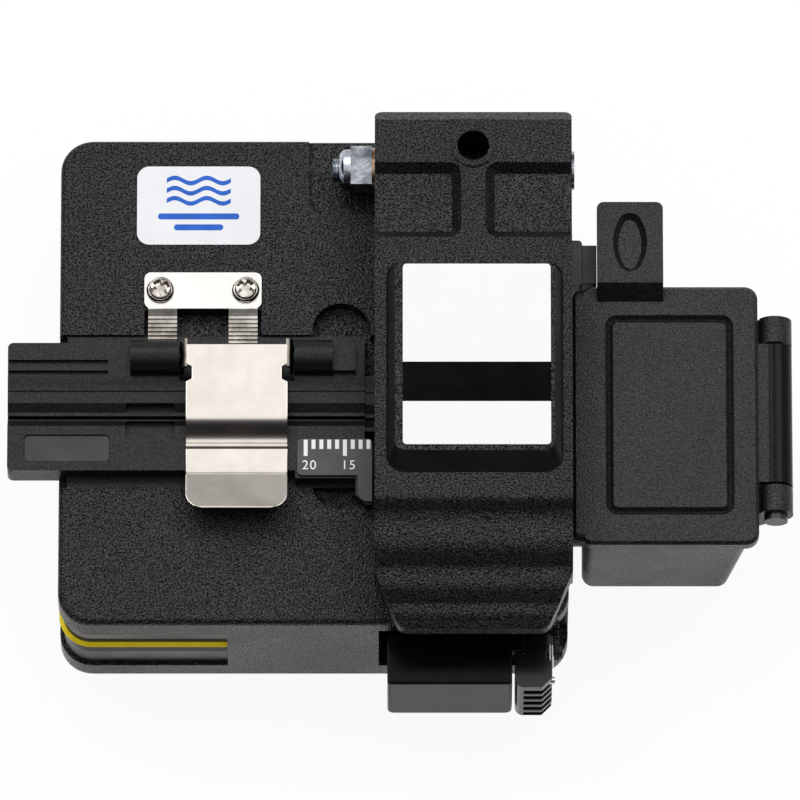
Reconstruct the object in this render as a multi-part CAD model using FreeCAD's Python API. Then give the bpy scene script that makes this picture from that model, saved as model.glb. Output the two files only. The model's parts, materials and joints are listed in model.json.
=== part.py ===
import FreeCAD, Part
import math
import os

# Fibre cleaver: die-cast base, hinged pressing lever, sliding blade carriage,
# slotted fibre holder with a spring clip, lever lock latch and a waste box.
# Millimetres. +X runs along the fibre towards the waste box, +Y to the lever
# hinge, +Z up. Origin: centre of the base footprint, underside of the pad.

V = FreeCAD.Vector

# ---------------------------------------------------------------- base
BASE_LENGTH = 65.0
BASE_DEPTH = 65.8
CASTING_HEIGHT = 19.5
PAD_THICKNESS = 1.0
BASE_CORNER_RADIUS = 4.2
LEAST_CORNER_RADIUS = 0.4
TOP_EDGE_RADIUS = 0.8
SHELL_WALL = 2.6
COVER_THICKNESS = 2.0
COVER_INSET = 1.6
COVER_CLEARANCE = 0.15
PAD_INSET = 0.9
COVER_SCREW_INSET = 8.0
SCREW_HEAD_RADIUS = 1.9
SCREW_HEAD_HEIGHT = 1.2
SCREW_SHANK_RADIUS = 1.0
SCREW_LENGTH = 6.0
PAD_HOLE_RADIUS = 2.6
SCREW_POST_RADIUS = 3.4
RIB_THICKNESS = 1.6

# trim band let into the front left corner
TRIM_LENGTH = 21.5
TRIM_BOTTOM = 3.3
TRIM_HEIGHT = 11.9
TRIM_RECESS = 1.1
TRIM_FACE_DEPTH = 0.55
STRIPE_BOTTOM = 9.8
STRIPE_HEIGHT = 2.1
STRIPE_FACE_DEPTH = 0.15
ACCENT_HEIGHT = 2.2
ACCENT_FACE_DEPTH = 0.44

# ---------------------------------------------------------------- lever
LEVER_WIDTH = 25.15
LEVER_OVERHANG = 0.45
LEVER_RISE = 13.2
LEVER_FRONT_OVERHANG = 2.2
LEVER_WALL = 1.8
LEVER_ROOF = 2.6
LEVER_FLOAT = 0.5
HINGE_SETBACK = 5.45
HINGE_HEIGHT = 3.2
HINGE_BOLT_RADIUS = 1.5
HINGE_RUNNING_CLEARANCE = 0.06
LEVER_EAR_RADIUS = 4.0
LEVER_EAR_WIDTH = 5.6
EAR_BACKING = 0.4
LUG_SWING_ROOM = 0.35
HINGE_LUG_RADIUS = 3.2
HINGE_SIDE_CLEARANCE = 0.2
HINGE_POCKET_LENGTH = 8.45
HINGE_POCKET_SETBACK = 10.2
HINGE_POCKET_DEPTH = 1.1
HINGE_POCKET_RADIUS = 2.0
HINGE_WEB_REAR = 1.1
BOLT_HEAD_RADIUS = 2.5
SOCKET_RADIUS_SHARE = 0.5
SOCKET_DEPTH_SHARE = 0.6
BOLT_HEAD_HEIGHT = 2.0
BOLT_HEAD_PROUD = 0.4
BOLT_HEAD_CLEARANCE = 0.25
BOLT_TIP_LENGTH = 0.95
NUT_ACROSS_FLATS = 5.5
NUT_HEX_LENGTH = 2.7
NUT_COLLAR_LENGTH = 1.4
NUT_COLLAR_RADIUS = 2.7
NUT_COLLAR_ROUNDING = 0.5
NUT_CLOCKING = 23
BOLT_TIP_CHAMFER = 0.35
WASHER_RADIUS = 2.9
WASHER_THICKNESS = 0.4
REAR_BEVEL = 1.7
LIP_THICKNESS = 1.9
LIP_TOP_HEIGHT = 4.3
FRONT_CHAMFER_X = 3.1
FRONT_CHAMFER_Y = 6.4
LEVER_REAR_RADIUS = 1.0
LEVER_FRONT_RADIUS = 1.6
GRIP_RISERS = (14.3, 7.8, 3.4)
GRIP_RISER_RUN = 0.9
GRIP_RISER_DROP = 1.0
GRIP_CROWN = 0.12
GRIP_THICKNESS = 2.4
EYE_RADIUS = 2.04
EYE_SETBACK = 5.3
EYE_BOSS_RADIUS = 2.8
EYE_BOSS_RISE = 0.25
PAD_RECESS_DEPTH = 1.2
PAD_RECESS_LENGTH = 10.2
PAD_RECESS_SETBACK = 7.5
PAD_RECESS_RIB = 3.1
PAD_RECESS_CORNER = 1.6
LABEL_LENGTH = 24.4
LABEL_WIDTH = 18.8
LABEL_THICKNESS = 0.12
LABEL_CORNER_RADIUS = 0.5
PLINTH_MARGIN = 0.75
PLINTH_RISE = 1.5
PLINTH_SUNK = 0.5
PLINTH_SIDE_RUN = 1.1
PLINTH_REAR_RUN = 0.3
PLINTH_SHIFT = 0.15
LABEL_SHIFT = 0.4
PLINTH_FRONT_RUN = 2.45
PLINTH_CORNER_RADIUS = 1.2
PLINTH_REAR_SETBACK = 21.2

# ---------------------------------------------------------------- fibre line
FIBRE_OFFSET_Y = -5.4
FIBRE_ABOVE_TOP = 0.05
FIBRE_GAP = 0.125
BLADE_OFFSET_X = -1.375
CLAMP_GAP = 3.2
CLAMP_WIDTH = 2.5
CLAMP_DEPTH = 11.0
CLAMP_PAD_THICKNESS = 0.3
CLAMP_SEAT_CLEARANCE = 0.15
CLAMP_LEDGE = 0.5
CLAMP_BOSS_MARGIN = 1.5
CLAMP_BOSS_ROOT = 0.5
CLAMP_PAD_INSET = 0.25
CLAMP_PAD_CORNER = 0.4
UPPER_CLAMP_HEIGHT = 6.0
ANVIL_WIDTH = 1.8
ANVIL_DEPTH = 2.0
ANVIL_HEIGHT = 4.4
ANVIL_SHOWING = 0.35
ANVIL_WIRE = 0.2
ANVIL_COIL_RADIUS = 0.54
ANVIL_COIL_TURNS = 3
ANVIL_LIFT = 0.5
ANVIL_HOUSING_WALL = 0.45
ANVIL_SIDE_CLEARANCE = 0.05

# ---------------------------------------------------------------- carriage
CARRIAGE_TRAVEL = 7.6
BLADE_RADIUS = 8.25
BLADE_THICKNESS = 0.8
BLADE_EDGE_BEVEL = 0.3
BLADE_HUB_RADIUS = 3.4
BLADE_HUB_THICKNESS = 1.5
HUB_FLUTES = 8
HUB_FLUTE_RADIUS = 0.5
BLADE_BORE_CLEARANCE = 0.04
BLADE_SLOT_INSET = 0.5
BLADE_SIDE_GAP = 0.2
BLADE_SLOT_CLEARANCE = 0.4
BLADE_SLOT_WIDTH = 2.0
AXLE_RADIUS = 1.5
AXLE_HEAD_EXTRA = 0.7
AXLE_HEAD_THICKNESS = 0.7
BLOCK_WIDTH = 15.9
BLOCK_HEIGHT = 11.8
BLOCK_BOTTOM = 3.7
BLOCK_PROTRUSION = 6.7
BLOCK_CORNER_RADIUS = 0.9
BLOCK_FACE_ROUNDING = 0.45
FLANGE_EXTRA = 1.5
FLANGE_PROTRUSION = 2.35
FLANGE_THICKNESS = 1.4
OPENING_LEFT_MARGIN = 1.1
OPENING_BOTTOM = 3.2
OPENING_TOP = 16.7
CAVITY_CEILING = 15.8
CAVITY_REAR_Y = 17.0
SLIDE_THICKNESS = 2.4
SLIDE_WIDTH = 14.6
SLIDE_INSET = 0.5
SLIDE_TAIL = 2.7
RAIL_WIDTH = 2.4
RAIL_HEIGHT = 1.0
RAIL_INSET = 2.6
RAIL_LENGTH = 42.0
RAIL_CLEARANCE = 0.08
BEARING_WIDTH = 4.2
BEARING_WEB = 0.6
BEARING_FLOOR_GAP = 0.15
BEARING_LENGTH = 22.0
BEARING_SHIFT = 2.0
UPRIGHT_WIDTH = 4.6
UPRIGHT_DEPTH = 9.0
UPRIGHT_SHOULDER = 3.1
UPRIGHT_CHAMFER = 2.17
SPRING_WIRE = 0.5
SPRING_END_GAP = 0.1
SPRING_COIL_RADIUS = 1.9
SPRING_TURNS = 9
GUIDE_PIN_RADIUS = 0.8
GUIDE_CLEARANCE = 0.3
GUIDE_PIN_HOLD = 3.0
GUIDE_PIN_LEAD = 0.3
GUIDE_INSET = 1.9
GUIDE_RISE = 2.3
LUG_THICKNESS = 2.0
LUG_REACH = 2.3
LUG_RISE = 0.6

# ---------------------------------------------------------------- latch
LATCH_GAP = 0.35
LATCH_REAR_GAP = 0.15
LATCH_HEAD_WIDTH = 4.75
LATCH_HEAD_DEPTH = 4.5
LATCH_HEAD_HEIGHT = 12.0
LATCH_TOP = 15.1
LATCH_STEM_WIDTH = 2.6
LATCH_STEM_HEIGHT = 4.0
LATCH_PIVOT_PROTRUSION = 1.55
LATCH_PIVOT_HEIGHT = 13.5
LATCH_PIN_RADIUS = 0.8
LATCH_PIN_INSET = 0.3
LATCH_PIN_HEAD_LENGTH = 0.4
LATCH_PIN_HEAD_RADIUS = 1.12
LATCH_RIBS = 5
LATCH_RIB_DEPTH = 0.45
LATCH_RIB_PITCH = 2.1
LATCH_GROOVE_SHARE = 0.6
LATCH_SIDE_RUN = 0.9
LATCH_CORNER_RADIUS = 1.1
LATCH_CHAMFER = 1.3
LATCH_LOW_CHAMFER = 0.8
CHEEK_THICKNESS = 0.6
CHEEK_RADIUS = 1.4
CHEEK_ROOT = 0.5
CHEEK_GAP = 1.0
CHEEK_INSET = 1.2
LATCH_COIL_RADIUS = 2.1
LATCH_WIRE = 0.28
LATCH_COIL_PITCH = 0.31
LATCH_COIL_TURNS = 2
CLAW_REACH = 5.0
CLAW_HEIGHT = 5.5
CLAW_THICKNESS = 1.3
CLAW_NOSE = 0.9
CLAW_NOSE_HEIGHT = 1.1
CLAW_CLEARANCE = 0.3
HOOK_TOE = 1.2
HOOK_TOE_HEIGHT = 0.9
HOOK_OVERLAP = 0.2
HOOK_THICKNESS = 1.0

# ---------------------------------------------------------------- fibre holder
HOLDER_LENGTH = 45.55
HOLDER_DEPTH = 17.3
HOLDER_FRONT_Y = -12.9
HOLDER_LEVER_GAP = 1.3
HOLDER_FOOT_HEIGHT = 1.55
HOLDER_THICKNESS = 3.9
HOLDER_TONGUE = 4.6
TONGUE_DROP = 0.6
TONGUE_ROOM = 0.6
TONGUE_MARGIN = 0.5
CHANNEL_DEPTH = 2.0
CHANNEL_CLEARANCE = 0.1
HOLDER_SEAT_GAP = 0.05
CHANNEL_END_GAP = 0.6
CHANNEL_FRONT_GAP = 1.6
CHANNEL_REAR_GAP = 1.8
NOTCH_RADIUS = 3.7
NOTCH_SETBACK = 3.0
NOTCH_CENTRE_SHIFT = 0.6
SPRING_NOTCH_DEPTH = 3.4
HOLDER_CORNER_RADIUS = 0.7
FOOT_SETBACK = 1.0
CABLE_CHANNEL_FRONT = 1.5
CABLE_CHANNEL_REAR = 5.0
CABLE_CHANNEL_DEPTH = 1.1
STEP_WIDTH = 1.6
STEP_DEPTH = 0.45
VEE_WIDTH = 0.5
VEE_DEPTH = 0.15
GAUGE_SLOTS = ((2.3, 0.85), (3.75, 0.6))
SLOT_DEPTH = 0.6
SLOT_LENGTH = 12.8
REST_LENGTH = 11.0
REST_WIDTH = 3.65
REST_DEPTH = 0.3
REST_CORNER_RADIUS = 0.65
REST_LEFT_INSET = 2.1
REST_FRONT_INSET = 1.2
WINDOW_LENGTH = 6.3
WINDOW_LEFT_INSET = 15.05
WINDOW_REAR_WIDTH = 1.3
WINDOW_FRONT_WIDTH = 1.5
WINDOW_LEDGE = 1.1
WINDOW_DEPTH = 1.9
WINDOW_CORNER_RADIUS = 0.4

# clip
CLIP_WIDTH = 13.0
CLIP_LEFT_INSET = 22.75
CLIP_THICKNESS = 0.5
CLIP_PIN_RADIUS = 0.9
CLIP_PIN_INSET = 2.2
CLIP_PIN_RISE = 0.5
BARREL_RADIUS = 2.25
BARREL_LEFT_WIDTH = 6.25
BARREL_RIGHT_WIDTH = 4.9
BARREL_SIDE_GAP = 0.1
CLIP_PLATE_RISE = 1.95
CLIP_REAR_REACH = 1.97
CLIP_EAR_RADIUS = 1.5
CLIP_EAR_REACH = 0.75
CLIP_EAR_ROOT = 1.85
CLIP_NOTCH_WIDTH = 1.65
CLIP_SWING_ROOM = 2.95
CLIP_SPRING_WIRE = 0.35
CLIP_SPRING_TURNS = 5
CLIP_SPRING_CLEARANCE = 0.08
CLIP_SPRING_LENGTH = 4.5
CLIP_FLAT_REACH = 1.03
CLIP_BEND_LENGTH = 2.85
CLIP_FOOT_LENGTH = 4.2
CLIP_LIP_LENGTH = 5.2
CLIP_LIP_RISE = 1.7
CLIP_CORNER_RADIUS = 1.9
CLIP_PAD_INSET = 1.6
CLIP_PAD_FOOT = 0.6
CLIP_PAD_WIDTH = 1.8
END_BLOCK_WIDTH = 2.9
END_BLOCK_DEPTH = 3.8

# scale plate
SCALE_THICKNESS = 0.4
SCALE_ZERO_TO_LEFT = 21.1
SCALE_LEVER_GAP = 0.3
SCALE_DEPTH = 4.95
SCALE_REAR_Y = -8.75
SCALE_LEG_WIDTH = 1.9
SCALE_LEG_RADIUS = 1.3
SCALE_CORNER_RADIUS = 0.6
CARRIER_RIM = 0.25
SCALE_LEG_LENGTH = 3.55

# hold-down spring
HOLD_PLATE_WIDTH = 15.0
HOLD_PLATE_DEPTH = 5.0
HOLD_PLATE_THICKNESS = 0.5
HOLD_CORNER_RADIUS = 0.9
HOLD_LEG_GAP = 0.02
HOLD_LEFT_INSET = 10.8
HOLD_LEG_WIDTH = 3.7
HOLD_LEG_INSET = 0.5
HOLD_LEG_TIP_GAP = 0.45
HOLD_SCREW_SPACING = 10.9
HOLD_SCREW_HEAD_RADIUS = 1.78
HOLD_SCREW_HEAD_HEIGHT = 1.0
PAN_EDGE_SHARE = 0.5
CROSS_REACH_SHARE = 0.55
CROSS_WIDTH_SHARE = 0.12
CROSS_DEPTH_SHARE = 0.5
HOLD_SCREW_SHARE = 0.6

# sticker
STICKER_LENGTH = 15.8
STICKER_DEPTH = 10.7
STICKER_THICKNESS = 0.12
STICKER_CORNER_RADIUS = 1.6
STICKER_LEFT_INSET = 9.8
STICKER_REAR_INSET = 3.7

# ---------------------------------------------------------------- waste box
BOX_GAP = 1.4
LID_LENGTH = 22.8
LID_DEPTH = 34.95
LID_FRONT_Y = -23.2
LID_THICKNESS = 1.9
LID_RISE = 3.0
LID_CORNER_RADIUS = 1.7
LID_EDGE = 0.4
LID_EDGE_CLEARANCE = 0.25
LID_WEB_DROP = 0.6
LID_WEB_SINK = 0.5
LID_WEB_SHARE = 0.9
LID_SKIN = 1.1
LID_PANEL_INSET = 3.3
LID_PANEL_FRONT_INSET = 3.95
LID_PANEL_RIGHT_INSET = 3.1
LID_PANEL_REAR_INSET = 3.95
LID_PANEL_DEPTH = 0.5
LID_PANEL_GROOVE = 1.06
LID_PANEL_RADIUS = 1.6
GROOVE_SLOPE = 0.98
TRAY_WALL = 1.2
TRAY_INSET = 0.4
TRAY_RIGHT_INSET = 1.1
TRAY_TAPER = 2.7
TRAY_BOTTOM = 4.0
TRAY_LID_GAP = 0.2
TRAY_CORNER_RADIUS = 1.5
TRAY_SCREW_HOLD = 3.0
TRAY_SCREW_RISE = 6.0
TRAY_SCREW_INSET = 7.0
TRAY_BOSS_RADIUS = 3.2
TAB_WIDTH = 8.45
TAB_LENGTH = 11.0
TAB_INSET = 2.3
TAB_STEP = 2.0
TAB_RAMP = 1.9
TAB_RAMP_SETBACK = 0.25
TAB_SINK = 0.3
TAB_NECK = 1.2
TAB_CORNER_RADIUS = 0.9
TAB_THICKNESS = 1.7
DIMPLE_LENGTH = 8.0
DIMPLE_WIDTH = 4.35
DIMPLE_DEPTH = 0.8
DIMPLE_SLOPE = 0.7
LID_HINGE_OFFSET = 2.2
LID_HINGE_RADIUS = 2.2
ARM_TOP_SHARE = 0.2
ARM_DROP_SHARE = 3.0
LID_HINGE_DROP = 2.7
LID_PIN_RADIUS = 1.0
LID_PIN_HEAD_RADIUS = 1.5
LID_PIN_HEAD_LENGTH = 0.9
LID_BARREL_LENGTH = 18.7
LID_BARREL_FRONT_Y = -14.6
KNUCKLE_LENGTH = 3.5
KNUCKLE_GAP = 0.3
OFFCUT_NOTCH = 12.0
OFFCUT_NOTCH_DEPTH = 1.4
BRACKET_DEPTH = 6.2
BRACKET_WIDTH = 1.85
BRACKET_HEIGHT = 9.0
BRACKET_RISE = 0.2
BRACKET_STEP = 0.5
BRACKET_PLATE_HEIGHT = 7.0
BRACKET_RAIL_DROP = 2.5
BRACKET_CORNER_RADIUS = 0.5
BRACKET_REAR_GAP = 1.1

# ---------------------------------------------------------------- derived frame
BASE_LEFT = -BASE_LENGTH / 2
BASE_RIGHT = BASE_LENGTH / 2
BASE_FRONT = -BASE_DEPTH / 2
BASE_REAR = BASE_DEPTH / 2
CAST_Z0 = PAD_THICKNESS
BASE_TOP = CAST_Z0 + CASTING_HEIGHT
COVER_TOP = CAST_Z0 + COVER_THICKNESS

LEVER_RIGHT = BASE_RIGHT + LEVER_OVERHANG
LEVER_LEFT = LEVER_RIGHT - LEVER_WIDTH
LEVER_MID = (LEVER_LEFT + LEVER_RIGHT) / 2
LEVER_TOP = BASE_TOP + LEVER_RISE
PLATEAU_Z = LEVER_TOP - PLINTH_RISE
LEVER_REAR = BASE_REAR
LEVER_FRONT = BASE_FRONT - LEVER_FRONT_OVERHANG
LEVER_BOTTOM = BASE_TOP + LEVER_FLOAT
LIP_TOP = BASE_TOP + LIP_TOP_HEIGHT
LIP_BOTTOM = LIP_TOP - LIP_THICKNESS
HINGE_Y = BASE_REAR - HINGE_SETBACK
HINGE_Z = BASE_TOP + HINGE_HEIGHT

FIBRE_Y = FIBRE_OFFSET_Y
FIBRE_Z = BASE_TOP + FIBRE_ABOVE_TOP
BLADE_X = LEVER_MID + BLADE_OFFSET_X
BLADE_Z = FIBRE_Z - BLADE_RADIUS
BLADE_Y = FIBRE_Y - CARRIAGE_TRAVEL / 2 - 0.1

TOL = 1e-4
COIL_STEPS = 10
COIL_SIDES = 5


# ---------------------------------------------------------------- helpers
def block(x0, x1, y0, y1, z0, z1):
    return Part.makeBox(x1 - x0, y1 - y0, z1 - z0, V(x0, y0, z0))


def cylinder_x(y, z, x0, x1, radius):
    return Part.makeCylinder(radius, x1 - x0, V(x0, y, z), V(1, 0, 0))


def cylinder_y(x, z, y0, y1, radius):
    return Part.makeCylinder(radius, y1 - y0, V(x, y0, z), V(0, 1, 0))


def cylinder_z(x, y, z0, z1, radius):
    return Part.makeCylinder(radius, z1 - z0, V(x, y, z0), V(0, 0, 1))


def upright_edges(solid):
    found = []
    for edge in solid.Edges:
        box = edge.BoundBox
        if box.XLength < TOL and box.YLength < TOL:
            found.append(edge)
    return found


def edges_at_height(solid, z):
    found = []
    for edge in solid.Edges:
        box = edge.BoundBox
        if abs(box.ZMin - z) < TOL and abs(box.ZMax - z) < TOL:
            found.append(edge)
    return found


def edges_across_x(solid, x):
    found = []
    for edge in solid.Edges:
        box = edge.BoundBox
        if abs(box.XMin - x) < TOL and abs(box.XMax - x) < TOL:
            found.append(edge)
    return found


def rounded_plate(x0, x1, y0, y1, z0, z1, radius):
    solid = block(x0, x1, y0, y1, z0, z1)
    return solid.makeFillet(radius, upright_edges(solid))


def extrude_x(points, x0, x1):
    corners = [V(x0, y, z) for y, z in points]
    face = Part.Face(Part.makePolygon(corners + [corners[0]]))
    return face.extrude(V(x1 - x0, 0, 0))


def extrude_y(points, y0, y1):
    corners = [V(x, y0, z) for x, z in points]
    face = Part.Face(Part.makePolygon(corners + [corners[0]]))
    return face.extrude(V(0, y1 - y0, 0))


def extrude_z(points, z0, z1):
    corners = [V(x, y, z0) for x, y in points]
    face = Part.Face(Part.makePolygon(corners + [corners[0]]))
    return face.extrude(V(0, 0, z1 - z0))


def oval_block(x, y, width, length, z0, z1):
    """Upright block with a four-arc oval plan, longer along Y."""
    end = width * 0.35
    reach = length / 2 - end
    side = (width ** 2 / 4 + reach ** 2 - end ** 2) / (width - 2 * end)
    shift = side - width / 2
    run = end / (side - end)
    touch = (shift * run, reach * (1 + run))
    arcs = []
    for sign in (1, -1):
        left = (-touch[0] * sign, touch[1] * sign)
        right = (touch[0] * sign, touch[1] * sign)
        low = (touch[0] * sign, -touch[1] * sign)
        arcs.append((left, (0, length / 2 * sign), right))
        arcs.append((right, (width / 2 * sign, 0), low))
    edges = []
    for start, middle, finish in arcs:
        places = [V(x + px, y + py, z0) for px, py in (start, middle, finish)]
        edges.append(Part.Arc(*places).toShape())
    return Part.Face(Part.Wire(edges)).extrude(V(0, 0, z1 - z0))


def coil(x, y, z, radius, wire, pitch, turns, direction):
    """Helical wire along the given axis, starting at the given point."""
    lean = math.atan2(pitch, 2 * math.pi * radius)
    steps = int(round(COIL_STEPS * turns))
    sections = []
    for step in range(steps + 1):
        angle = 2 * math.pi * turns * step / steps
        outward = V(math.cos(angle), math.sin(angle), 0)
        upward = V(math.sin(angle) * math.sin(lean), -math.cos(angle) * math.sin(lean), math.cos(lean))
        centre = outward * radius + V(0, 0, pitch * turns * step / steps)
        corners = []
        for side in range(COIL_SIDES):
            swing = 2 * math.pi * side / COIL_SIDES
            across = outward * (wire / 2 * math.cos(swing))
            corners.append(centre + across + upward * (wire / 2 * math.sin(swing)))
        sections.append(Part.makePolygon(corners + [corners[0]]))
    wire_solid = Part.makeLoft(sections, True, True)
    turn = FreeCAD.Rotation(V(0, 0, 1), direction)
    wire_solid.Placement = FreeCAD.Placement(V(x, y, z), turn)
    return wire_solid


def panhead_screw(x, y, seat_z, shank_end_z, head_radius, head_height, shank_radius):
    head = cylinder_z(x, y, seat_z, seat_z + head_height, head_radius)
    head = head.makeChamfer(head_height * PAN_EDGE_SHARE, edges_at_height(head, seat_z + head_height))
    cross_half = head_radius * CROSS_REACH_SHARE
    cross_width = head_radius * CROSS_WIDTH_SHARE
    cross_depth = head_height * CROSS_DEPTH_SHARE
    top = seat_z + head_height
    for reach_x, reach_y in ((cross_half, cross_width), (cross_width, cross_half)):
        slot = block(x - reach_x, x + reach_x, y - reach_y, y + reach_y, top - cross_depth, top)
        head = head.cut(slot)
    return head.fuse(cylinder_z(x, y, shank_end_z, seat_z, shank_radius)).removeSplitter()


def open_line(points, x):
    """Straight edges through the given (y, z) points at the plane X = x."""
    corners = [V(x, y, z) for y, z in points]
    edges = []
    for first, second in zip(corners, corners[1:]):
        edges.append(Part.LineSegment(first, second).toShape())
    return edges


def arc_edge(start, middle, end, x):
    points = [V(x, y, z) for y, z in (start, middle, end)]
    return Part.Arc(points[0], points[1], points[2]).toShape()


def chamfered_pocket(x0, x1, y0, y1, floor_z, rim_z, radius):
    """Cutter for a shallow pocket whose walls slope at 45 degrees."""
    slope = rim_z - floor_z
    cutter = rounded_plate(x0, x1, y0, y1, floor_z, rim_z + slope, radius)
    return cutter.makeChamfer(slope * GROOVE_SLOPE, edges_at_height(cutter, floor_z))


# ---------------------------------------------------------------- shared places
FLOOR_Z = BASE_TOP - CHANNEL_DEPTH
HOLDER_Z0 = FLOOR_Z + HOLDER_SEAT_GAP
HOLDER_TOP = HOLDER_Z0 + HOLDER_THICKNESS
HOLDER_RIGHT = LEVER_LEFT - HOLDER_LEVER_GAP
HOLDER_LEFT = HOLDER_RIGHT - HOLDER_LENGTH
HOLDER_REAR_Y = HOLDER_FRONT_Y + HOLDER_DEPTH
TONGUE_RIGHT = HOLDER_RIGHT + HOLDER_TONGUE
CHANNEL_Y0 = HOLDER_FRONT_Y - CHANNEL_FRONT_GAP
CHANNEL_Y1 = HOLDER_REAR_Y + CHANNEL_REAR_GAP
CHANNEL_X1 = TONGUE_RIGHT + CHANNEL_END_GAP
NOTCH_X = HOLDER_RIGHT - NOTCH_SETBACK

HOLD_X0 = BASE_LEFT + HOLD_LEFT_INSET
HOLD_X1 = HOLD_X0 + HOLD_PLATE_WIDTH
HOLD_Y0 = CHANNEL_Y1 + SPRING_NOTCH_DEPTH
HOLD_Y1 = HOLD_Y0 + HOLD_PLATE_DEPTH

CHEEK_X1 = BASE_RIGHT - CHEEK_INSET
CHEEK_X0 = CHEEK_X1 - CHEEK_THICKNESS
STEM_X1 = CHEEK_X0 - CHEEK_GAP
STEM_X0 = STEM_X1 - LATCH_STEM_WIDTH
FLANGE_X1 = STEM_X0 - CLAW_CLEARANCE
BLOCK_X1 = FLANGE_X1 - FLANGE_EXTRA
BLOCK_X0 = BLOCK_X1 - BLOCK_WIDTH
HEAD_X0 = BLOCK_X1 + LATCH_GAP
HEAD_X1 = HEAD_X0 + LATCH_HEAD_WIDTH
OPENING_X0 = BLOCK_X0 - OPENING_LEFT_MARGIN
OPENING_Z0 = CAST_Z0 + OPENING_BOTTOM
OPENING_Z1 = CAST_Z0 + OPENING_TOP
CEILING_Z = CAST_Z0 + CAVITY_CEILING
BLOCK_Z0 = CAST_Z0 + BLOCK_BOTTOM
BLOCK_Z1 = BLOCK_Z0 + BLOCK_HEIGHT
BLOCK_FRONT = BASE_FRONT - BLOCK_PROTRUSION
FLANGE_FRONT = BASE_FRONT - FLANGE_PROTRUSION
BLOCK_REAR = BASE_FRONT + SHELL_WALL
FRONT_POCKET_Y = BASE_FRONT + 2 * SHELL_WALL

PIVOT_Y = BASE_FRONT - LATCH_PIVOT_PROTRUSION
PIVOT_Z = CAST_Z0 + LATCH_PIVOT_HEIGHT
LATCH_Z1 = CAST_Z0 + LATCH_TOP
HEAD_REAR = FLANGE_FRONT - LATCH_REAR_GAP
HEAD_FRONT = HEAD_REAR - LATCH_HEAD_DEPTH
CLAW_Y0 = PIVOT_Y + CLAW_REACH
CLAW_Y1 = CLAW_Y0 + CLAW_THICKNESS
CLAW_Z1 = PIVOT_Z + CLAW_HEIGHT
NOSE_Y = CLAW_Y0 - CLAW_NOSE
HOOK_TOE_Y = NOSE_Y - CLAW_CLEARANCE
HOOK_Y1 = HOOK_TOE_Y - HOOK_TOE
HOOK_Z1 = CLAW_Z1 - CLAW_NOSE_HEIGHT + HOOK_OVERLAP
HOOK_Z0 = HOOK_Z1 - HOOK_TOE_HEIGHT

CLAMP_INNER = CLAMP_GAP / 2
CLAMP_OUTER = CLAMP_INNER + CLAMP_WIDTH
CLAMP_Y0 = FIBRE_Y - CLAMP_DEPTH / 2
CLAMP_Y1 = FIBRE_Y + CLAMP_DEPTH / 2
CLAMP_SEAT_Z = CEILING_Z + CLAMP_LEDGE
LOWER_PAD_TOP = FIBRE_Z - FIBRE_GAP / 2
LOWER_CLAMP_TOP = LOWER_PAD_TOP - CLAMP_PAD_THICKNESS
UPPER_PAD_BOTTOM = FIBRE_Z + FIBRE_GAP / 2
UPPER_CLAMP_BOTTOM = UPPER_PAD_BOTTOM + CLAMP_PAD_THICKNESS

SLIDE_X0 = BLOCK_X0 + SLIDE_INSET
SLIDE_X1 = SLIDE_X0 + SLIDE_WIDTH
RAIL_TOP = COVER_TOP + RAIL_HEIGHT
SLIDE_Z0 = RAIL_TOP + RAIL_CLEARANCE + BEARING_WEB
SLIDE_Z1 = SLIDE_Z0 + SLIDE_THICKNESS
SLIDE_REAR = BLADE_Y + BLADE_RADIUS + SLIDE_TAIL
GUIDE_X = SLIDE_X1 - GUIDE_INSET
GUIDE_Z = SLIDE_Z1 + GUIDE_RISE

PLINTH_X = LEVER_MID + PLINTH_SHIFT
PLINTH_REAR_Y = LEVER_REAR - PLINTH_REAR_SETBACK
PLINTH_FRONT_Y = PLINTH_REAR_Y - LABEL_LENGTH - 2 * PLINTH_MARGIN
SKIRT_Y = FRONT_POCKET_Y
GRIP_UNDER_Y = LEVER_FRONT + FRONT_CHAMFER_Y

LID_X0 = BASE_RIGHT + BOX_GAP
LID_X1 = LID_X0 + LID_LENGTH
LID_REAR_Y = LID_FRONT_Y + LID_DEPTH
LID_TOP = BASE_TOP + LID_RISE
LID_BOTTOM = LID_TOP - LID_THICKNESS
LID_HINGE_X = LID_X1 + LID_HINGE_OFFSET
LID_HINGE_Z = LID_TOP - LID_HINGE_DROP
TRAY_X0 = LID_X0 + TRAY_INSET
TRAY_X1 = LID_X1 - TRAY_RIGHT_INSET
TRAY_Y0 = LID_FRONT_Y + TRAY_INSET
TRAY_Y1 = LID_REAR_Y - TRAY_INSET
TRAY_Z0 = CAST_Z0 + TRAY_BOTTOM
TRAY_Z1 = LID_BOTTOM - TRAY_LID_GAP
TRAY_SCREW_Z = TRAY_Z0 + TRAY_SCREW_RISE
BRACKET_Y0 = LID_REAR_Y + BRACKET_REAR_GAP
BRACKET_Y1 = BRACKET_Y0 + BRACKET_DEPTH


# ---------------------------------------------------------------- base body
def base_outline(inset, z0, z1):
    radius = max(BASE_CORNER_RADIUS - inset, LEAST_CORNER_RADIUS)
    return rounded_plate(BASE_LEFT + inset, BASE_RIGHT - inset,
                         BASE_FRONT + inset, BASE_REAR - inset, z0, z1, radius)


def cover_screw_places():
    left = BASE_LEFT + COVER_SCREW_INSET
    right = BASE_RIGHT - COVER_SCREW_INSET
    rear = BASE_REAR - COVER_SCREW_INSET
    front = BASE_FRONT + COVER_SCREW_INSET
    return ((left, front), (left, rear), (OPENING_X0 - COVER_SCREW_INSET, front), (right, rear))


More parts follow.
